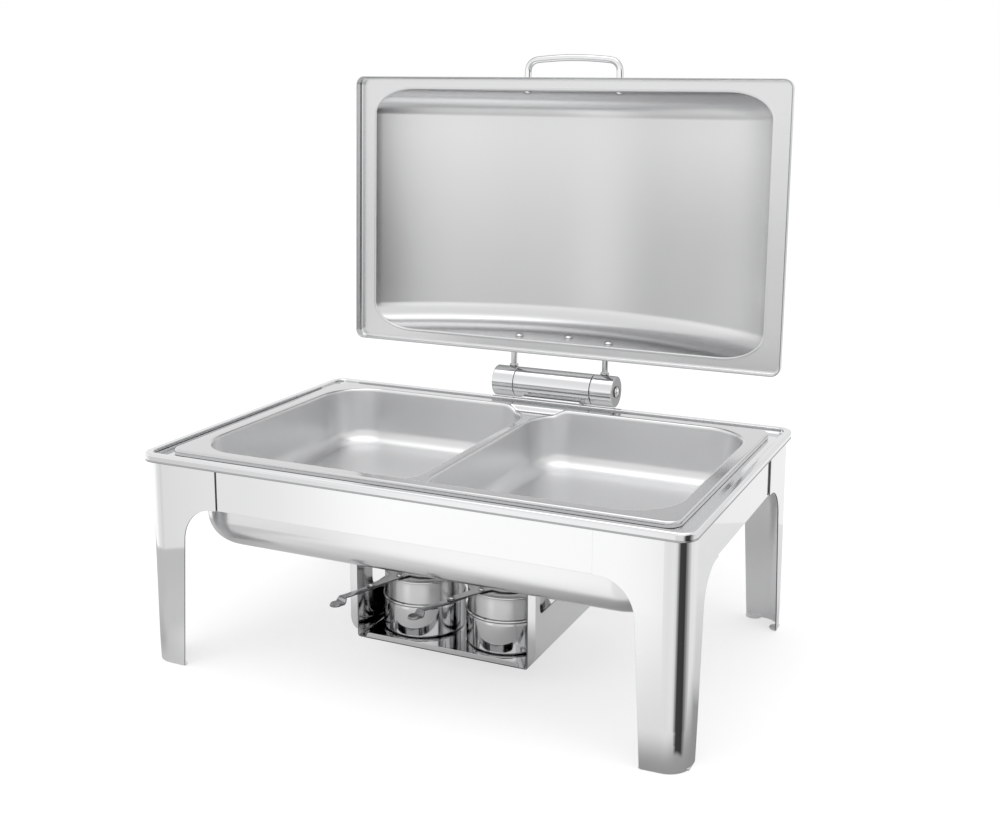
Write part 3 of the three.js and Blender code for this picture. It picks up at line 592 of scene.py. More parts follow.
def food_pan():
    fx, fy = (PHI.x - PLO.x) / 2 / MM, (PHI.y - PLO.y) / 2 / MM
    bx, by, br, b2, step, half, deep, bend = 249.5, 147.0, 50.0, 38.0, 6.0, 6.5, 64.0, 18.0
    edge = 3.4
    N = 32

    def comp(o):
        """Outline of the left compartment grown by o, evenly matched between calls."""
        return rr(-bx - o, -half + o, -by - o, by + o, [b2 + o, br + o, br + o, b2 + o], N)

    def inside_step(x, y):
        """Distance inside the step's rounded rectangle, negative outside."""
        qx, qy = abs(x) - (bx - br), abs(y) - (by - br)
        return -(math.hypot(max(qx, 0), max(qy, 0)) + min(max(qx, qy), 0) - br)

    def top(x, y):
        t = min(1.0, max(0.0, (inside_step(x, y) + 3.6) / 7.2))
        return -step * t * t * (3 - 2 * t)
    s = Shape()
    # rolled outer edge
    outer = []
    for i in range(7):
        a = rad(90 * i / 6)
        o = 2.4 * (1 - math.cos(a))
        outer.append(ring(fx - o, fy - o, 14 - o, -2.4 + 2.4 * math.sin(a), 12))
    s.loft([ring(fx, fy, 14, -5.5, 12)] + outer, cap0=False, cap1=False)
    loop = [(p[0], p[1]) for p in outer[-1]]
    k2 = fx - 2.4 - 1.6
    left = comp(edge)
    right = [(-x, y) for x, y in reversed(left)]
    pts = []
    keep_out = comp(edge + 0.8)

    def hit(x, y, poly):
        c, j = False, len(poly) - 1
        for i in range(len(poly)):
            (xi, yi), (xj, yj) = poly[i], poly[j]
            if (yi > y) != (yj > y) and x < (xj - xi) * (y - yi) / (yj - yi) + xi:
                c = not c
            j = i
        return c
    for iy in range(17):
        yy = by - 5.4 + iy * 0.65
        for ix in range(-40, 41):
            xx = ix * 1.6
            if hit(-abs(xx), yy, keep_out):
                continue
            pts += [(xx, yy), (xx, -yy)]
    for yy in range(-135, 136, 9):
        pts += [(0.0, float(yy))]
    pts += [(x, y) for x, y in rr(-fx + 4.2, fx - 4.2, -fy + 4.2, fy - 4.2, 9.8, 12)]
    s.sheet(loop, [left, right], pts, [], lambda x, y: (x, y, top(x, y)), flip=False)
    # each compartment: soft upper edge, walls with a little draft, bent floor
    for sx in (-1, 1):
        rings = []
        c0 = comp(edge)
        zt = [top(x, y) for x, y in c0]
        for i in range(9):
            b = rad(90 * i / 8)
            c = comp(edge * (1 - math.sin(b)))
            rings.append([(x, y, z - edge * (1 - math.cos(b))) for (x, y), z in zip(c, zt)])
        wall = -deep + bend
        draft = 2.6
        for i in range(1, 4):
            t = i / 3
            c = comp(-draft * t)
            rings.append([(x, y, (z - edge) * (1 - t) + wall * t) for (x, y), z in zip(c, zt)])
        for i in range(1, 11):
            a = rad(90 * i / 10)
            c = comp(-draft - bend * (1 - math.cos(a)))
            rings.append([(x, y, wall - bend * math.sin(a)) for x, y in c])
        if sx > 0:
            rings = [[(-x, y, z) for x, y, z in reversed(r)] for r in rings]
        s.loft(rings, cap0=False, cap1=True, mats=[0] * 4 + [1] * (len(rings) - 4))
    # one surface, then thickened downwards
    obj = s.build("food_pan", [SATIN_PAN, SATIN_BAY], solid=True, thick=1.0, sharp=60, merge=2e-5)
    me = obj.data
    # normals must point up and into the compartments, so that the sheet thickens away from the food
    up = sum(p.normal.z * p.area for p in me.polygons)
    if up < 0:
        me.flip_normals()
    return obj


food_pan()

# ---------------------------------------------------------------- burner tray and straps

tlo, thi = box_mm("burner_tray")
TX, TY, TLOW, TWALL, TPOST, TTOP, TEAR = thi[0] - 8.0, thi[1], tlo[2], -152.0, 29.0, thi[2], 8.0


def tray():
    rb = 3.0
    H = TTOP - (TLOW + rb)
    arc_l = rb * math.pi / 2
    flat = TX - rb
    total = flat + arc_l + H

    def place(s, y):
        sg = 1 if s > 0 else -1
        a = abs(s)
        if a <= flat:
            return (s, y, TLOW)
        if a <= flat + arc_l:
            q = (a - flat) / rb
            return (sg * (flat + rb * math.sin(q)), y, TLOW + rb * (1 - math.cos(q)))
        return (sg * TX, y, TLOW + rb + (a - flat - arc_l))
    wall_s = flat + arc_l + (TWALL - TLOW - rb)
    rc = 7.0
    q = [(total, TY), (total, TY - TPOST)]
    q += [(wall_s + rc - rc * math.sin(rad(a)), TY - TPOST - rc + rc * math.cos(rad(a))) for a in range(0, 91, 15)]
    side = q + [(s, -y) for s, y in reversed(q)]
    outline = side + [(-s, y) for s, y in reversed(side)]
    lines = []
    for i in range(9):
        s = flat + arc_l * i / 8
        lines += [((s, -TY - 1), (s, TY + 1)), ((-s, -TY - 1), (-s, TY + 1))]
    s = Shape().sheet(outline, [], [], lines, place, flip=False)
    obj = s.build("burner_tray", [TRAY_M, TRAY_M, CUT_AND_SHADE_M], solid=False, thick=1.2, rim=2, bevel=0.2, sharp=30)
    me = obj.data
    # outer side faces down and out
    low = sum(p.normal.z * p.area for p in me.polygons)
    if low > 0:
        me.flip_normals()
    extra = Shape()
    for sx in (-1, 1):
        for sy in (-1, 1):
            e = [(TX - 0.9, TTOP), (TX - 0.9, TLOW + 8)]
            e += [(TX - 0.5 + (TEAR + 0.5) * math.sin(rad(a)), TLOW + 8 + 14 * (1 - math.cos(rad(a)))) for a in range(10, 91, 10)]
            e += [(TX + TEAR, TTOP)]
            y0, y1 = sorted((sy * TY, sy * (TY - 1.2)))
            extra.prism([(sx * x, z) for x, z in e], y0, y1, "Y")
            ya, yb = sorted((sy * TY, sy * (TY - TPOST)))
            extra.prism(rr(TX - 12, TX + TEAR, ya, yb, 1.5, 4) if sx > 0 else rr(-TX - TEAR, -TX + 12, ya, yb, 1.5, 4), TTOP - 1.2, TTOP, "Z")
    lip = rr(-TX + 10, TX - 10, TLOW, TLOW + 6, [4.5, 4.5, 0.5, 0.5], 8)
    extra.prism(lip, -TY, -TY + 1.2, "Y")
    add = extra.build("burner_tray", [TRAY_M, TRAY_M, CUT_AND_SHADE_M], bevel=0.3, sharp=30)
    return join_into(obj, add)


tray()


def strap(node):
    lo, hi = box_mm(node)
    t = 1.5
    x0 = LX - PLATE - 0.3 - PLATE - 0.3
    under, bend, wx = lo[2] + t, 32.0, 256.0
    centre = [(x0 - t / 2, hi[2]), (x0 - t / 2, -44.0), (wx + t / 2 + 1, -58.0)]
    for i in range(11):
        a = rad(9 * i)
        centre.append((wx - bend + (bend + t / 2) * math.cos(a), under + bend - (bend + t / 2) * math.sin(a)))
    line = centre + [(-x, z) for x, z in reversed(centre)]
    a_, b_ = [], []
    for i, p in enumerate(line):
        p0, p1 = line[max(i - 1, 0)], line[min(i + 1, len(line) - 1)]
        d1 = Vector((p[0] - p0[0], p[1] - p0[1]))
        d2 = Vector((p1[0] - p[0], p1[1] - p[1]))
        if d1.length < 1e-6:
            d1 = d2.copy()
        if d2.length < 1e-6:
            d2 = d1.copy()
        d1.normalize(), d2.normalize()
        n1, n2 = Vector((-d1.y, d1.x)), Vector((-d2.y, d2.x))
        m = (n1 + n2).normalized()
        k = t / 2 / max(0.5, m.dot(n1))
        a_.append((p[0] + m.x * k, p[1] + m.y * k))
        b_.append((p[0] - m.x * k, p[1] - m.y * k))
    return Shape().prism(a_ + b_[::-1], lo[1], hi[1], "Y").build(node, [WELL_OUT], bevel=0.3, sharp=30)


strap("tray_strap_front")
strap("tray_strap_rear")

# ---------------------------------------------------------------- fuel burners


def burner(side):
    lo, hi = box_mm(side + "_burner_can")
    cx, cy = (lo[0] + hi[0]) / 2, (lo[1] + hi[1]) / 2
    low = lo[2]
    R, shoulder, top, collar, hole = 43.0, hi[2], box_mm(side + "_burner_collar")[1][2], 41.5, 24.0
    # can: rolled bottom edge, a bead at the mouth
    prof = [(0, low + 1.0), (R - 8, low + 1.0), (R - 5, low + 0.2), (R - 4.2, low)]
    prof += [(R - 3.2 + 3.2 * math.sin(rad(a)), low + 3.2 - 3.2 * math.cos(rad(a))) for a in range(15, 91, 15)]
    prof += [(R, low + 12), (R, shoulder - 6), (R - 0.5, shoulder - 4.4), (R - 0.5, shoulder - 3.2)]
    prof += [(R - 0.5 + 1.1 * math.cos(rad(a)), shoulder - 1.5 + 1.5 * math.sin(rad(a))) for a in range(-60, 91, 25)]
    prof += [(R - 1.3, shoulder - 0.3), (R - 1.3, low + 4), (R - 3.4, low + 2.2), (0, low + 2.2)]
    Shape().turned(prof, (cx, cy, 0), "Z", 96).build(side + "_burner_can", [CAN_M], sharp=50)
    # collar: cap with a flame opening; inner lip turned down
    prof = [(hole + 1.2, top - 3.2), (hole, top - 3.0), (hole, top - 1.2), (hole + 0.5, top - 0.3), (hole + 1.6, top)]
    prof += [(collar - 4, top), (collar - 3.4, top - 0.5), (collar - 2.6, top - 0.5), (collar - 2.2, top)]
    prof += [(collar - 1.4 + 1.4 * math.sin(rad(a)), top - 1.4 + 1.4 * math.cos(rad(a))) for a in range(15, 106, 15)]
    prof += [(collar - 0.45, top - 3.0), (collar - 0.25, top - 8), (collar - 0.25, shoulder + 3.2), (collar, shoulder + 2.2), (collar, shoulder - 7.9),
             (collar - 1.0, shoulder - 7.9), (collar - 1.2, top - 2.4), (collar - 2, top - 1.1), (hole + 1.3, top - 1.1)]
    Shape().turned(prof, (cx, cy, 0), "Z", 96).build(side + "_burner_collar", [COLLAR_M], sharp=50)

    pin = JOINT[side + "_cover_swivel"]["pos_m"]
    px, py = pin[0] / MM, (pin[1] - OY) / MM
    ux, uy = px - cx, py - cy
    d = math.hypot(ux, uy)
    ux, uy = ux / d, uy / d
    clo, chi = box_mm(side + "_burner_cover")
    z0, z1 = clo[2], chi[2]

    def put(s, w, z):
        return (cx + ux * s - uy * w, cy + uy * s + ux * w, z)
    # cover: a shallow pressed disc with a raised rim, and a tapering arm
    rivet, tip, pivot = 71.0, 122.0, 34.0
    outl = []
    for a in range(-146, 147, 4):
        ang = rad(a + 180)
        outl.append((29 * math.cos(ang), 29 * math.sin(ang)))
    arm = [(27, 7.6), (33, 6.4), (44, 5.5), (rivet - 6, 4.7), (rivet + 1.5, 4.4), (rivet + 4.0, 3.0), (rivet + 5, 0)]
    poly = outl + [(s, -w) for s, w in arm] + [(s, w) for s, w in reversed(arm[:-1])]
    # outl runs clockwise from the arm's far side: make the loop run one way
    poly = sorted_loop(poly)

    def lift(s, w):
        r_ = math.hypot(s, w)
        z = 0.0
        if r_ < 22:
            z -= 0.25 * (1 - (r_ / 22) ** 2)
        return z
    pts = [(rr_ * math.cos(rad(a)), rr_ * math.sin(rad(a))) for rr_ in (4, 8, 12, 16, 19, 22, 25) for a in range(0, 360, 15)]
    sh = Shape().sheet(poly, [], pts, [], lambda s, w: put(s, w, z1 + lift(s, w)))
    obj = sh.build(side + "_burner_cover", [COLLAR_M, COLLAR_M, CUT_AND_SHADE_M], solid=False, thick=z1 - z0 - 0.05, rim=2, bevel=0.22, sharp=30)
    fix_up(obj)

    plo, phi = box_mm(side + "_cover_pivot_pin")
    prof = [(0, plo[2]), (1.95, plo[2]), (1.95, phi[2] - 2.2), (3.5, phi[2] - 2.1), (3.55, phi[2] - 1.6), (3.1, phi[2] - 0.7), (1.9, phi[2] - 0.15), (0, phi[2])]
    Shape().turned(prof, (px, py, 0), "Z", 32).build(side + "_cover_pivot_pin", [SCREW_M], sharp=40)

    # grip: strip with a joggle, ending in a dished tab
    glo, ghi = box_mm(side + "_burner_grip")
    h1 = ghi[2]
    s0, s1 = rivet - 16, tip
    drop = h1 - 1.2 - glo[2]

    def zc(s):
        a, b = tip - 15.0, tip - 10.6
        if s < a:
            return 0.0
        if s < b:
            t = (s - a) / (b - a)
            return -(drop - 1.3) * t * t * (3 - 2 * t)
        t = (s - b) / (s1 - b)
        return -(drop - 1.3) - 1.3 * math.sin(math.pi / 2 * min(1, t))

    def hw(s):
        if s < tip - 16:
            return 4.1
        if s < tip - 12:
            t = (s - tip + 16) / 4
            return 4.1 + 2.5 * t * t * (3 - 2 * t)
        if s < tip - 6.6:
            return 6.6
        return 6.6 * math.sqrt(max(0.0, 1 - ((s - tip + 6.6) / 6.6) ** 2)) + 0.02
    ss = [s0 + (tip - 16 - s0) * i / 10 for i in range(10)]
    ss += [tip - 16 + 16 * (1 - math.cos(math.pi / 2 * i / 30)) ** 1.0 * 0 + 16 * i / 34 for i in range(34)]
    ss += [s1 - 0.02]
    g = Shape()
    W = 8
    for s in ss:
        for j in range(W + 1):
            w = hw(s) * (2 * j / W - 1)
            dish = 0.0
            if s > tip - 11:
                e = min(1, (s - tip + 11) / 4)
                dish = 1.2 * e * ((w / 6.6) ** 2 + max(0, (s - tip + 6) / 6) ** 2 * 0.8)
            crown = -0.25 * (w / 4.1) ** 2 if s < tip - 16 else 0.0
            g.v.append(put(s, w, h1 + zc(s) + dish + crown - (0.0 if s < tip - 11 else 0.0)))
    for i in range(len(ss) - 1):
        for j in range(W):
            a = i * (W + 1) + j
            g.face((a, a + W + 1, a + W + 2, a + 1))
    obj = g.build(side + "_burner_grip", [GRIP_M, GRIP_M, CUT_AND_SHADE_M], solid=False, thick=1.15, rim=2, bevel=0.2, sharp=40)
    fix_up(obj)
    rlo, rhi = box_mm(side + "_grip_rivet")
    prof = [(0, rlo[2]), (2.2, rlo[2]), (2.6, rlo[2] + 1.0), (1.35, rlo[2] + 1.0), (1.35, rhi[2] - 1.85), (3.1, rhi[2] - 1.85), (3.15, rhi[2] - 1.4),
            (2.7, rhi[2] - 0.7), (1.5, rhi[2] - 0.15), (0, rhi[2])]
    Shape().turned(prof, ((rlo[0] + rhi[0]) / 2, (rlo[1] + rhi[1]) / 2, 0), "Z", 32).build(side + "_grip_rivet", [SCREW_M], sharp=40)


def sorted_loop(poly):
    """Orders points round the middle of a star-shaped outline, counter-clockwise, without repeats."""
    seen = {}
    for x, y in poly:
        seen[(round(x, 4), round(y, 4))] = math.atan2(y, x)
    return [p for p, _ in sorted(seen.items(), key=lambda q: q[1])]


def fix_up(obj):
    if sum(p.normal.z * p.area for p in obj.data.polygons) < 0:
        obj.data.flip_normals()


burner("left")
burner("right")

# ---------------------------------------------------------------- hinge

axis = JOINT["lid_hinge"]["pos_m"]
AY, AZ = (axis[1] - OY) / MM, (axis[2] - OZ) / MM
BARREL_R = (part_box("hinge_barrel")[1].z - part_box("hinge_barrel")[0].z) / 2 / MM
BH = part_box("hinge_barrel")[1].x / MM


def rounded_bar(r, bore, x0, x1, e=1.0):
    p = [(bore, x0 + 0.4), (bore + 0.4, x0), (r - e, x0)]
    p += [(r - e + e * math.sin(rad(a)), x0 + e - e * math.cos(rad(a))) for a in (22.5, 45, 67.5, 90)]
    p += [(r, x0 + e + 0.4), (r, x1 - e - 0.4)]
    p += [(r - e + e * math.cos(rad(a)), x1 - e + e * math.sin(rad(a))) for a in (0, 22.5, 45, 67.5, 90)]
    p += [(bore + 0.4, x1), (bore, x1 - 0.4)]
    return p


Shape().turned(rounded_bar(BARREL_R, 5.3, -BH, BH, 0.8), (0, AY, AZ), "X", 128).build("hinge_barrel", [BARREL_M], sharp=50)
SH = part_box("hinge_shaft")[1].x / MM
Shape().turned([(0, -SH), (4.2, -SH), (4.96, -SH + 0.8), (4.96, SH - 0.8), (4.2, SH), (0, SH)], (0, AY, AZ), "X", 64).build("hinge_shaft", [CAN_M], sharp=40)


def bracket():
    lo, hi = box_mm("hinge_bracket")
    f = lo[1]
    y1, y2 = RY + 2.5, hi[1]
    rc = BARREL_R + 0.3
    a0 = math.degrees(math.atan2(-math.sqrt(rc * rc - (y2 - AY) ** 2), y2 - AY))
    a1 = math.degrees(math.atan2(-AZ, -math.sqrt(rc * rc - AZ * AZ)))
    cut = arc(AY, AZ, rc, a0, a1, 16)
    pts = [(f, lo[2]), (f + 3, lo[2]), (f + 3, -19)] + [(f + 6 - 3 * math.cos(rad(a)), -19 + 3 * math.sin(rad(a))) for a in (30, 60, 90)]
    pts += [(y2 - 2, -16), (y2, -14)] + cut + [(y1 + 1, 0.0), (y1, -1.0), (y1, -12), (f + 1.5, -12), (f, -13.5)]
    Shape().prism(pts, lo[0], hi[0], "X").build("hinge_bracket", [MIRROR], bevel=0.5, sharp=30)


bracket()

# ---------------------------------------------------------------- lid
# Lid pieces are made closed and turned about the hinge line to the rest pose.

OPEN = 92
SWING = Matrix.Translation(Vector(axis)) @ Matrix.Rotation(rad(-OPEN), 4, "X") @ Matrix.Translation(-Vector(axis))
LREAR, LPLANE, LHX, LWIDE, LLIP, LR_ = 167.0, 12.4, 264.0, 317.0, 10.8, 10.0
DHALF, DRISE, DT0, DT1, DBEND = 244.0, 90.0, 14.5, 302.5, 30.0


def lid_shell():
    Rr = (DHALF ** 2 + DRISE ** 2) / (2 * DRISE)
    base = Rr - DRISE + 1.0  # distance from the drum's centre to the flange plane
    bead = 1.1               # depth at which the arch leaves the rolled edge
    nv = 72

    def Rt(t):
        e = min(t - DT0, DT1 - t)
        if e >= DBEND:
            return Rr
        return Rr - DBEND + math.sqrt(max(0.0, DBEND ** 2 - (DBEND - e) ** 2))
    rows = []
    for i in range(15):
        a = rad(90 * i / 14)
        rows.append(DT0 + DBEND * (1 - math.cos(a)))
    for i in range(1, 9):
        rows.append(DT0 + DBEND + (DT1 - DT0 - 2 * DBEND) * i / 9)
    rows += [DT1 - DBEND * (1 - math.cos(rad(90 * i / 14))) for i in range(14, -1, -1)]
    s = Shape()

    def arcrow(t, depth=bead):
        R_ = Rt(t)
        pm = math.acos((base + depth) / R_)
        out = []
        for j in range(nv + 1):
            ph = pm * (2 * j / nv - 1)
            out.append((R_ * math.sin(ph), t, R_ * math.cos(ph) - base))
        return out
    grid = [arcrow(t) for t in rows]
    for r in grid:
        s.v += r
    n = nv + 1
    for i in range(len(grid) - 1):
        for j in range(nv):
            a = i * n + j
            s.face((a, a + 1, a + n + 1, a + n))
    # end walls: between the first row's arc and a straight chord, as a fan of strips
    chord = []
    for end in (0, len(grid) - 1):
        row = grid[end]
        xs = [p[0] for p in row]
        t = rows[end]
        m = 5
        prev = [end * n + j for j in range(n)]
        for k in range(1, m + 1):
            cur = []
            for j in range(n):
                x, _, z = row[j]
                zz = z + (bead - z) * k / m
                if j in (0, n - 1):
                    cur.append(end * n + j)
                else:
                    cur.append(len(s.v))
                    s.v.append((x, t, zz))
            for j in range(nv):
                s.face((prev[j], prev[j + 1], cur[j + 1], cur[j]) if prev[j] != cur[j] and prev[j + 1] != cur[j + 1]
                       else ((prev[j], prev[j + 1], cur[j + 1]) if prev[j] == cur[j] else (prev[j], prev[j + 1], cur[j])))
            prev = cur
        chord.append(prev)
    # opening's loop, counter-clockwise seen from above: rear chord (t0) from +x to -x, left edge, front chord, right edge
    loop = []
    loop += [chord[0][j] for j in range(n - 1, -1, -1)]
    loop += [i * n for i in range(1, len(grid))]
    loop += [chord[1][j] for j in range(1, n)]
    loop += [i * n + nv for i in range(len(grid) - 2, 0, -1)]
    pts = [s.v[i] for i in loop]

    def offset(d, z):
        out = []
        for i in range(len(pts)):
            p0, p1 = Vector(pts[i - 1][:2]), Vector(pts[(i + 1) % len(pts)][:2])
            tdir = (p1 - p0).normalized()
            nrm = Vector((tdir.y, -tdir.x))
            out.append((pts[i][0] + nrm.x * d, pts[i][1] + nrm.y * d, z))
        return out
    # direction of growth: away from the middle
    mid = (0, (DT0 + DT1) / 2)
    test = offset(1.0, 0)
    sgn = 1 if math.hypot(test[5][0] - mid[0], test[5][1] - mid[1]) > math.hypot(pts[5][0] - mid[0], pts[5][1] - mid[1]) else -1
    prev = loop
    for d, z in ((0.12, 0.45), (0.55, -0.1), (1.2, -0.4), (1.9, -0.35), (2.5, -0.08), (3.0, 0.0), (4.2, 0.0)):
        cur = []
        for p in offset(d * sgn, z):
            cur.append(len(s.v))
            s.v.append(p)
        for i in range(len(prev)):
            j = (i + 1) % len(prev)
            s.face((prev[i], prev[j], cur[j], cur[i]))
        prev = cur
    hole = [(s.v[i][0], s.v[i][1]) for i in prev]
    # flange up to the fold, then the turned lip
    yc = LWIDE / 2
    fold = 2.2

    def lring(o, z, n_=10):
        return [(x, y, z) for x, y in rr(-LHX + o, LHX - o, yc - LWIDE / 2 + o, yc + LWIDE / 2 - o, max(LR_ - o, 1.0), n_)]
    inner = lring(1.0 + fold + 1.0, 0.0)
    s.sheet([(p[0], p[1]) for p in inner], [hole], [], [], lambda x, y: (x, y, 0.0))
    rings = [inner]
    for i in range(6):
        a = rad(90 * i / 5)
        rings.append(lring(1.0 + fold * (1 - math.sin(a)), -fold * (1 - math.cos(a))))
    rings.append(lring(1.0, -LLIP + 0.9))
    rings.append(lring(0.8, -LLIP + 0.3))
    s.loft(rings, cap0=False, cap1=False)

    # into the closed design frame
    s.moved(lambda x, t, d: (x, LREAR - t, LPLANE + d))
    # the lip's edge takes the hem material: painted shade for the dark line along the lip
    obj = s.build("lid_shell", [SATIN, SATIN, HEM_SHADE_M], solid=True, thick=1.0, rim=2, sharp=60, merge=2e-5, matrix=SWING)
    # the visible inside faces the front (-y) at rest; the sheet thickens behind it
    if sum(p.normal.y * p.area for p in obj.data.polygons) > 0:
        obj.data.flip_normals()
    return obj


lid_shell()


def centre_mm(node):
    lo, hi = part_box(node)
    return (lo + hi) / 2


def closed(x, y, z):
    """Closed-lid design millimetres of a rest-pose point in metres."""
    p = SWING.inverted() @ Vector((x, y, z))
    return (p.x / MM, (p.y - OY) / MM, (p.z - OZ) / MM)


def lid_screw(node, direction):
    """Domed button head inside the lid, shank through the wall. direction +1 points the shank to +y."""
    c = closed(*centre_mm(node))
    lo, hi = box_mm(node)
    length = (hi[2] - lo[2])  # the screw lies along z when the lid is open
    head, high, r = 5.2, 2.2, 2.0
    y_head = c[1] - direction * length / 2
    prof = [(0, -0.9), (1.2, -0.84), (2.4, -0.55), (3.5, 0.05), (4.3, 0.85), (4.8, 1.7), (4.9, 2.15), (4.8, 2.2), (2.0, 2.2), (2.0, length - 0.5), (1.6, length), (0, length)]
    prof = [(q, h * direction) for q, h in prof]
    Shape().turned(prof, (c[0], y_head, c[2]), "Y", 40).build(node, [SCREW_M], sharp=40, matrix=SWING)


for n_ in ("left", "middle", "right"):
    lid_screw("lid_hinge_screw_" + n_, 1)
for n_ in ("left", "right"):
    lid_screw("handle_screw_" + n_, -1)


def handle():
    hX, hS, hB, crown, bar, depth = 57.0, 22.0, 13.0, 2.4, 3.75, 31.5
    front = LREAR - DT1
    start = front - 1.0 - 0.3
    raw = [(-hX, 0.0), (-hX, hS * 0.5), (-hX, hS * 0.85)]
    raw += [(-hX + hB - hB * math.cos(rad(a)), hS + hB * math.sin(rad(a))) for a in range(0, 91, 9)]
    x0 = -hX + hB
    raw += [(x0 * (1 - k / 8), hS + hB + crown * math.sin(math.pi / 2 * k / 8)) for k in range(1, 9)]
    raw = raw + [(-x, o) for x, o in reversed(raw[:-1])]
    # smooth the joints between the bends and the crown
    pts = raw
    for _ in range(3):
        pts = [pts[0], pts[1]] + [((a[0] + 2 * b[0] + c[0]) / 4, (a[1] + 2 * b[1] + c[1]) / 4) for a, b, c in zip(pts[1:-3], pts[2:-2], pts[3:-1])] + [pts[-2], pts[-1]]
    path = [Vector((x, start - o, LPLANE + depth)) for x, o in pts]
    s = Shape().sweep(path, bar, 28)
    # small ferrules where the legs meet the lid
    for sx in (-1, 1):
        prof = [(3.7, 0.0), (5.2, 0.0), (5.3, -0.6), (4.9, -1.4), (3.95, -2.6), (3.7, -2.7)]
        s.turned(prof, (sx * hX, start, LPLANE + depth), "Y", 32)
    s.build("lid_handle", [CHROME], sharp=45, matrix=SWING)


handle()


def hinge_plate():
    out = LREAR - DT0 + 1.0 + 0.3
    z = lambda d: LPLANE + d
    pts = []
    corners = [(-68, z(4)), (68, z(4)), (68, z(30)), (22, z(46)), (-22, z(46)), (-68, z(30))]
    r = 4.0
    for i, p in enumerate(corners):
        a, b, c = Vector(corners[i - 1]), Vector(p), Vector(corners[(i + 1) % len(corners)])
        d1, d2 = (a - b).normalized(), (c - b).normalized()
        ang = math.acos(max(-1, min(1, d1.dot(d2))))
        k = r / math.tan(ang / 2)
        p1, p2 = b + d1 * k, b + d2 * k
        ctr = b + (d1 + d2).normalized() * (r / math.sin(ang / 2))
        a1, a2 = math.atan2(p1.y - ctr.y, p1.x - ctr.x), math.atan2(p2.y - ctr.y, p2.x - ctr.x)
        while a2 - a1 > math.pi:
            a2 -= 2 * math.pi
        while a2 - a1 < -math.pi:
            a2 += 2 * math.pi
        for q in range(7):
            t = a1 + (a2 - a1) * q / 6
            pts.append((ctr.x + r * math.cos(t), ctr.y + r * math.sin(t)))
    Shape().prism(pts, out, out + 3, "Y").build("lid_hinge_plate", [MIRROR], bevel=0.6, sharp=30, matrix=SWING)
    return out


OUT = hinge_plate()


def posts():
    for n_, sg in (("left", -1), ("right", 1)):
        x = sg * 57.5
        zc = LPLANE + 8.0
        y0 = OUT + 3 + 0.3
        # saddle end against the knuckle: the ring follows the cylinder
        n = 40
        rings = []

        def saddle(r, gap=0.3):
            out = []
            for i in range(n):
                a = 2 * math.pi * i / n
                px, pz = x + r * math.cos(a), zc + r * math.sin(a)
                h = BARREL_R + gap
                dz = pz - AZ
                out.append((px, AY - math.sqrt(max(0.01, h * h - dz * dz)), pz))
            return out

        def flat(r, y):
            return [(x + r * math.cos(2 * math.pi * i / n), y, zc + r * math.sin(2 * math.pi * i / n)) for i in range(n)]
        end = saddle(5.1)
        y_in = min(p[1] for p in end)
        rings = [flat(2.9, y0), flat(3.4, y0 + 0.5), flat(3.5, y0 + 1.0), flat(3.5, y_in - 2.4), flat(3.9, y_in - 1.7), flat(4.9, y_in - 1.2), flat(5.2, y_in - 0.7), end]
        Shape().loft(rings).build("hinge_post_" + n_, [CHROME], sharp=45, matrix=SWING)
        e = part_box("hinge_knuckle_right")[1].x / MM
        k0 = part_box("hinge_knuckle_right")[0].x / MM
        p = rounded_bar(BARREL_R, 5.1, k0, e, 1.2)
        p = [(r, h * sg) for r, h in p]
        Shape().turned(p, (0, AY, AZ), "X", 128).build("hinge_knuckle_" + n_, [BARREL_M], sharp=50, matrix=SWING)
        lo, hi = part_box("hinge_end_screw_right")
        b0, b1 = lo.x / MM, hi.x / MM
        p = [(0, b0), (6.4, b0), (6.6, b0 + 0.3), (6.4, b0 + 1.0), (5.4, b0 + 1.9), (3.8, b0 + 2.8), (2.0, b1 - 0.15), (0, b1)]
        Shape().turned([(r, h * sg) for r, h in p], (0, AY, AZ), "X", 48).build("hinge_end_screw_" + n_, [SCREW_M], sharp=40, matrix=SWING)


posts()

# ---------------------------------------------------------------- studio


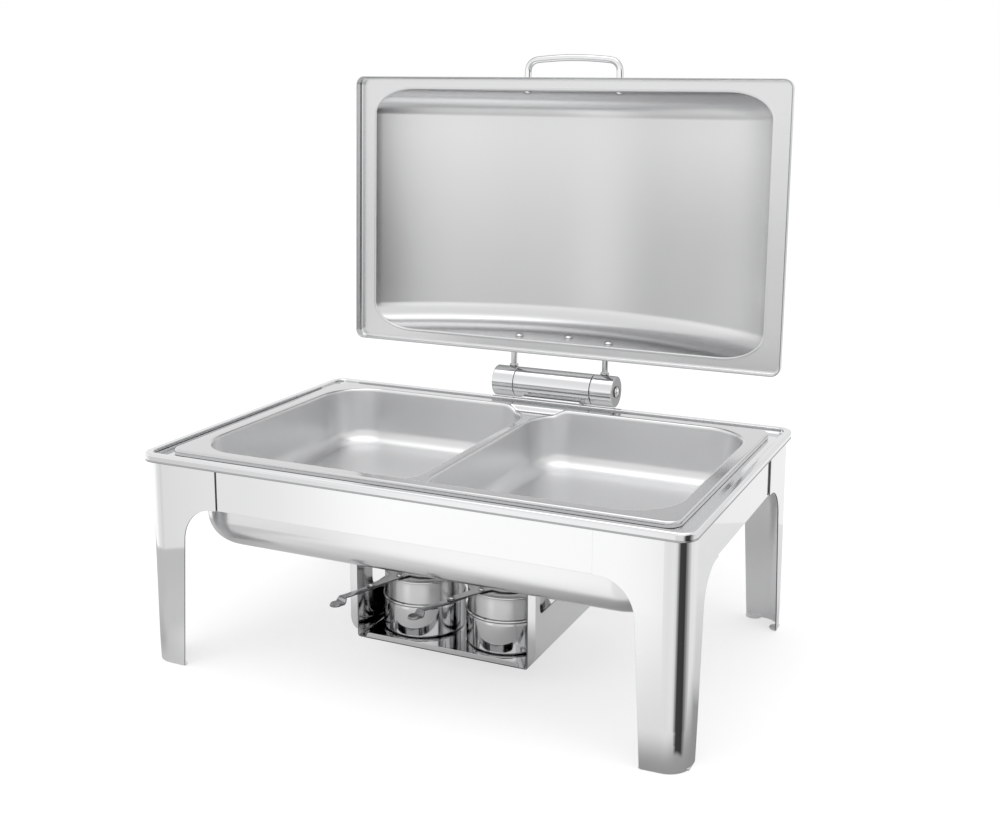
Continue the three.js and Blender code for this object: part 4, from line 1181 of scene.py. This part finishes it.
def studio_group(name, low_stops, high_stops, front_el, rear_el):
    """Brightness of the studio by direction, as the polished surfaces see it."""
    g = bpy.data.node_groups.new(name, "ShaderNodeTree")
    g.interface.new_socket("Direction", in_out="INPUT", socket_type="NodeSocketVector")
    g.interface.new_socket("Value", in_out="OUTPUT", socket_type="NodeSocketFloat")
    nodes, links = g.nodes, g.links
    gi, go = nodes.new("NodeGroupInput"), nodes.new("NodeGroupOutput")

    def m(op, a, b=None):
        n = nodes.new("ShaderNodeMath")
        n.operation = op
        for i, x in enumerate((a, b)):
            if x is None:
                continue
            if isinstance(x, (int, float)):
                n.inputs[i].default_value = x
            else:
                links.new(x, n.inputs[i])
        return n.outputs[0]
    nrm = nodes.new("ShaderNodeVectorMath")
    nrm.operation = "NORMALIZE"
    links.new(gi.outputs[0], nrm.inputs[0])
    sep = nodes.new("ShaderNodeSeparateXYZ")
    links.new(nrm.outputs[0], sep.inputs[0])
    x, y, z = sep.outputs
    az = m("ARCTAN2", x, m("MULTIPLY", y, -1.0))          # 0 front, +90 right
    az01 = m("ADD", m("DIVIDE", az, 2 * math.pi), 0.5)
    el01 = m("ADD", m("DIVIDE", m("ARCSINE", z), math.pi), 0.5)

    def ramp(fac, stops, interp="EASE"):
        n = nodes.new("ShaderNodeValToRGB")
        n.color_ramp.interpolation = interp
        els = n.color_ramp.elements
        while len(els) > 1:
            els.remove(els[-1])
        els[0].position = stops[0][0]
        els[0].color = (stops[0][1],) * 3 + (1,)
        for p, v in stops[1:]:
            e = els.new(p)
            e.color = (v,) * 3 + (1,)
        links.new(fac, n.inputs[0])
        return n.outputs[0]

    def mix(t, a, b):
        return m("ADD", m("MULTIPLY", a, m("SUBTRACT", 1.0, t)), m("MULTIPLY", b, t))
    A = lambda d: (d + 180) / 360
    E = lambda d: (d + 90) / 180
    K = 2.0  # ramp colours stop at 1, so the stops hold half the brightness
    low = ramp(az01, [(A(v), b / K) for v, b in low_stops])
    if high_stops is None:
        links.new(m("MULTIPLY", low, K), go.inputs[0])
        return g
    high = ramp(az01, [(A(v), b / K) for v, b in high_stops])
    level = mix(ramp(el01, [(E(4), 0.0), (E(26), 1.0)]), low, high)
    rear = ramp(az01, [(A(-125), 1.0), (A(-75), 0.0), (A(75), 0.0), (A(125), 1.0)])
    fall = mix(rear, ramp(el01, [(E(v), b / K) for v, b in front_el]), ramp(el01, [(E(v), b / K) for v, b in rear_el]))
    links.new(m("MULTIPLY", m("MULTIPLY", level, fall), K * K), go.inputs[0])
    return g


AZ_LOW = [(-180, 0.95), (-140, 1.0), (-95, 1.36), (-60, 1.18), (-40, 1.10), (-24, 1.16), (0, 1.18), (26, 1.28), (44, 1.30), (53, 0.20), (80, 0.06), (90, 0.95), (106, 1.2), (150, 1.0), (180, 0.95)]
AZ_HIGH = [(-180, 0.92), (-120, 1.0), (-60, 1.0), (0, 1.0), (60, 1.0), (120, 0.95), (180, 0.92)]
EL_FRONT = [(-90, 1.0), (2, 1.0), (9, 1.0), (20, 1.0), (50, 0.96), (60, 1.34), (68, 2.0), (84, 2.0), (90, 2.0)]
EL_REAR = [(-90, 1.0), (4, 1.0), (20, 1.0), (45, 0.95), (58, 1.15), (70, 2.0), (90, 2.0)]
# painted reflection: how bright the floor looks to the polished parts by direction, with dark bands where the room is
# dark
FLOOR_AZ = [(-180, 0.95), (-140, 0.92), (-95, 0.98), (-60, 0.72), (-43, 0.64), (-37, 0.76), (-30, 0.97), (-20, 0.95), (-15, 0.76), (0, 0.74), (26, 0.76), (36, 0.66), (43, 0.30), (51, 0.045), (76, 0.04), (86, 0.22), (98, 0.46), (112, 0.76), (150, 0.82), (180, 0.92)]


def stage():
    sc = bpy.context.scene
    sc.view_settings.view_transform = "Standard"
    sc.view_settings.look = "None"
    g = studio_group("studio", AZ_LOW, AZ_HIGH, EL_FRONT, EL_REAR)
    gf = studio_group("studio_floor", FLOOR_AZ, None, None, None)
    w = bpy.data.worlds.new("studio")
    w.cycles.sampling_method = "NONE"
    sc.world = w
    w.use_nodes = True
    nt = w.node_tree
    nt.nodes.clear()
    out = nt.nodes.new("ShaderNodeOutputWorld")
    lp = nt.nodes.new("ShaderNodeLightPath")
    tc = nt.nodes.new("ShaderNodeTexCoord")
    gn = nt.nodes.new("ShaderNodeGroup")
    gn.node_tree = g
    nt.links.new(tc.outputs["Generated"], gn.inputs[0])
    b_gl, b_df = nt.nodes.new("ShaderNodeBackground"), nt.nodes.new("ShaderNodeBackground")
    for b in (b_gl, b_df):
        b.inputs["Color"].default_value = (1, 1, 1, 1)
    nt.links.new(gn.outputs[0], b_gl.inputs["Strength"])
    b_df.inputs["Strength"].default_value = 1.0
    mx = nt.nodes.new("ShaderNodeMixShader")
    nt.links.new(lp.outputs["Is Glossy Ray"], mx.inputs[0])
    nt.links.new(b_df.outputs[0], mx.inputs[1])
    nt.links.new(b_gl.outputs[0], mx.inputs[2])
    nt.links.new(mx.outputs[0], out.inputs[0])

    # floor: a wide flat sheet
    me = bpy.data.meshes.new("floor")
    bm = bmesh.new()
    bmesh.ops.create_grid(bm, x_segments=24, y_segments=24, size=14.0)
    bm.to_mesh(me)
    bm.free()
    lo, hi = CAD_BOX
    floor = bpy.data.objects.new("floor", me)
    floor.location = ((lo.x + hi.x) / 2, (lo.y + hi.y) / 2, lo.z - 0.0004)
    sc.collection.objects.link(floor)
    fm = bpy.data.materials.new("floor_paper")
    fm.use_nodes = True
    nt = fm.node_tree
    nt.nodes.clear()
    out = nt.nodes.new("ShaderNodeOutputMaterial")
    lp = nt.nodes.new("ShaderNodeLightPath")
    geo = nt.nodes.new("ShaderNodeNewGeometry")
    gn = nt.nodes.new("ShaderNodeGroup")
    gn.node_tree = gf
    neg = nt.nodes.new("ShaderNodeVectorMath")
    neg.operation = "SCALE"
    neg.inputs["Scale"].default_value = -1.0
    nt.links.new(geo.outputs["Incoming"], neg.inputs[0])
    nt.links.new(neg.outputs[0], gn.inputs[0])

    def em(strength):
        e = nt.nodes.new("ShaderNodeEmission")
        if isinstance(strength, (int, float)):
            e.inputs["Strength"].default_value = strength
        else:
            nt.links.new(strength, e.inputs["Strength"])
        return e.outputs[0]

    def diff(v):
        d = nt.nodes.new("ShaderNodeBsdfDiffuse")
        if isinstance(v, (int, float)):
            d.inputs["Color"].default_value = (v, v, v, 1)
        else:
            nt.links.new(v, d.inputs["Color"])
        return d.outputs[0]

    def add(a, b):
        n = nt.nodes.new("ShaderNodeAddShader")
        nt.links.new(a, n.inputs[0])
        nt.links.new(b, n.inputs[1])
        return n.outputs[0]

    def mul(a, k):
        n = nt.nodes.new("ShaderNodeMath")
        n.operation = "MULTIPLY"
        nt.links.new(a, n.inputs[0])
        if isinstance(k, (int, float)):
            n.inputs[1].default_value = k
        else:
            nt.links.new(k, n.inputs[1])
        return n.outputs[0]
    # paper: a noise texture is made but not connected
    tc = nt.nodes.new("ShaderNodeTexCoord")
    no = nt.nodes.new("ShaderNodeTexNoise")
    no.inputs["Scale"].default_value = 6.0
    nt.links.new(tc.outputs["Object"], no.inputs["Vector"])
    def calc(op, a, b):
        n = nt.nodes.new("ShaderNodeMath")
        n.operation = op
        for i, q in enumerate((a, b)):
            if isinstance(q, (int, float)):
                n.inputs[i].default_value = q
            else:
                nt.links.new(q, n.inputs[i])
        return n.outputs[0]

    def remap(a, lo_, hi_, v0, v1):
        n = nt.nodes.new("ShaderNodeMapRange")
        n.interpolation_type = "SMOOTHSTEP"
        nt.links.new(a, n.inputs["Value"])
        for k_, q in (("From Min", lo_), ("From Max", hi_), ("To Min", v0), ("To Max", v1)):
            n.inputs[k_].default_value = q
        return n.outputs["Result"]
    pos = nt.nodes.new("ShaderNodeSeparateXYZ")
    nt.links.new(geo.outputs["Position"], pos.inputs[0])
    qx = calc("MAXIMUM", calc("SUBTRACT", calc("ABSOLUTE", pos.outputs[0], 0), 0.285), 0.0)
    cy_ = OY
    qy = calc("MAXIMUM", calc("SUBTRACT", calc("ABSOLUTE", calc("SUBTRACT", pos.outputs[1], cy_), 0), 0.185), 0.0)
    away = calc("SQRT", calc("ADD", calc("MULTIPLY", qx, qx), calc("MULTIPLY", qy, qy)), 0)
    # painted shade on the paper as the polished parts see it: shaded near the stand, most of all where the feet meet
    # it; beyond the lamps it falls off
    across = nt.nodes.new("ShaderNodeValToRGB")
    across.color_ramp.interpolation = "EASE"
    stops = [(-0.45, 0.50), (-0.33, 0.54), (-0.22, 0.90), (-0.05, 1.0), (0.12, 0.90), (0.24, 0.75), (0.40, 0.77)]
    across.color_ramp.elements[0].position, across.color_ramp.elements[1].position = 0.0, 1.0
    across.color_ramp.elements[0].color = (0.5, 0.5, 0.5, 1)
    across.color_ramp.elements[1].color = (0.80, 0.80, 0.80, 1)
    for px_, b_ in stops:
        across.color_ramp.elements.new(px_ + 0.5).color = (b_, b_, b_, 1)
    nt.links.new(calc("ADD", pos.outputs[0], 0.5), across.inputs[0])
    shade = across.outputs[0]
    rest_ = calc("MAXIMUM", remap(pos.outputs[0], -0.30, 0.30, 0.76, 0.44), remap(pos.outputs[1], OY - 0.12, OY + 0.02, 0.0, 0.88))
    reach = calc("SQRT", calc("ADD", calc("MULTIPLY", calc("MULTIPLY", qx, 0.42), calc("MULTIPLY", qx, 0.42)), calc("MULTIPLY", qy, qy)), 0)
    touch = remap(reach, 0.0, 0.07, 0.0, 1.0)
    contact = calc("ADD", rest_, calc("MULTIPLY", calc("SUBTRACT", 1.0, rest_), touch))
    close = remap(away, 0.014, 0.026, 0.0, 1.0)
    middle = remap(away, 0.31, 0.35, 0.0, 1.0)
    far = remap(away, 0.9, 1.9, 1.0, 0.84)
    v = calc("MULTIPLY", gn.outputs[0], far)
    near_ = calc("MULTIPLY", shade, contact)
    ring_ = calc("MINIMUM", v, calc("ADD", near_, middle))
    v = calc("ADD", calc("MULTIPLY", near_, calc("SUBTRACT", 1.0, close)), calc("MULTIPLY", ring_, close))
    # seen directly the paper is evenly bright; for glossy rays it glows with the painted reflection and painted shade
    # worked out above
    seen = add(em(0.60), diff(0.42))
    mirrored_ = add(em(mul(v, 0.42)), diff(mul(v, 0.58)))
    mx = nt.nodes.new("ShaderNodeMixShader")
    nt.links.new(lp.outputs["Is Glossy Ray"], mx.inputs[0])
    nt.links.new(seen, mx.inputs[1])
    nt.links.new(mirrored_, mx.inputs[2])
    nt.links.new(mx.outputs[0], out.inputs[0])
    fm.cycles.emission_sampling = "NONE"
    me.materials.append(fm)

    # soft boxes: one wide overhead, one low from the front left
    for name, loc, size, power, target in (
            ("top_box", (-0.3, -0.5, 2.4), (2.2, 1.6), 16, (0, -0.05, 0.2)),
            ("front_box", (-1.4, -2.4, 1.5), (1.6, 1.2), 10, (0, 0, 0.25)),
            ("right_box", (2.2, -0.6, 1.7), (1.2, 1.2), 7, (0, 0, 0.25))):
        ld = bpy.data.lights.new(name, "AREA")
        ld.shape, ld.size, ld.size_y, ld.energy = "RECTANGLE", size[0], size[1], power
        lo_ = bpy.data.objects.new(name, ld)
        lo_.location = loc
        lo_.visible_glossy = False
        lo_.rotation_mode = "QUATERNION"
        lo_.rotation_quaternion = (Vector(target) - Vector(loc)).to_track_quat("-Z", "Y")
        sc.collection.objects.link(lo_)

    # camera: set out from the food pan's middle, with a lowered axis and a shifted lens
    cd = bpy.data.cameras.new("camera")
    cam = bpy.data.objects.new("camera", cd)
    cd.sensor_fit, cd.sensor_width = "HORIZONTAL", 36.0
    cd.lens = 1.30741 * 36.0
    cam.location = D(572.848, -1169.43, 365.852)
    az, el, roll = rad(23.825), rad(10.065), rad(0.327)
    back = Vector((math.sin(az) * math.cos(el), -math.cos(az) * math.cos(el), math.sin(el)))
    right = Vector((math.cos(az), math.sin(az), 0))
    up = back.cross(right)
    right, up = math.cos(roll) * right + math.sin(roll) * up, math.cos(roll) * up - math.sin(roll) * right
    cam.rotation_mode = "QUATERNION"
    cam.rotation_quaternion = Matrix((right, up, back)).transposed().to_quaternion()
    cd.clip_start, cd.clip_end = 0.05, 100
    sc.collection.objects.link(cam)
    sc.camera = cam
    # the shift belongs to this viewpoint; seen from anywhere else the lens is centred
    for prop, value in (("shift_x", -0.030), ("shift_y", -0.1001)):
        drv = cd.driver_add(prop).driver
        drv.type = "SCRIPTED"
        var = drv.variables.new()
        var.name, var.type = "x", "TRANSFORMS"
        var.targets[0].id = cam
        var.targets[0].transform_type = "LOC_X"
        var.targets[0].transform_space = "WORLD_SPACE"
        drv.expression = "%.4f if abs(x - %.5f) < 0.0005 else 0.0" % (value, cam.location.x)


stage()
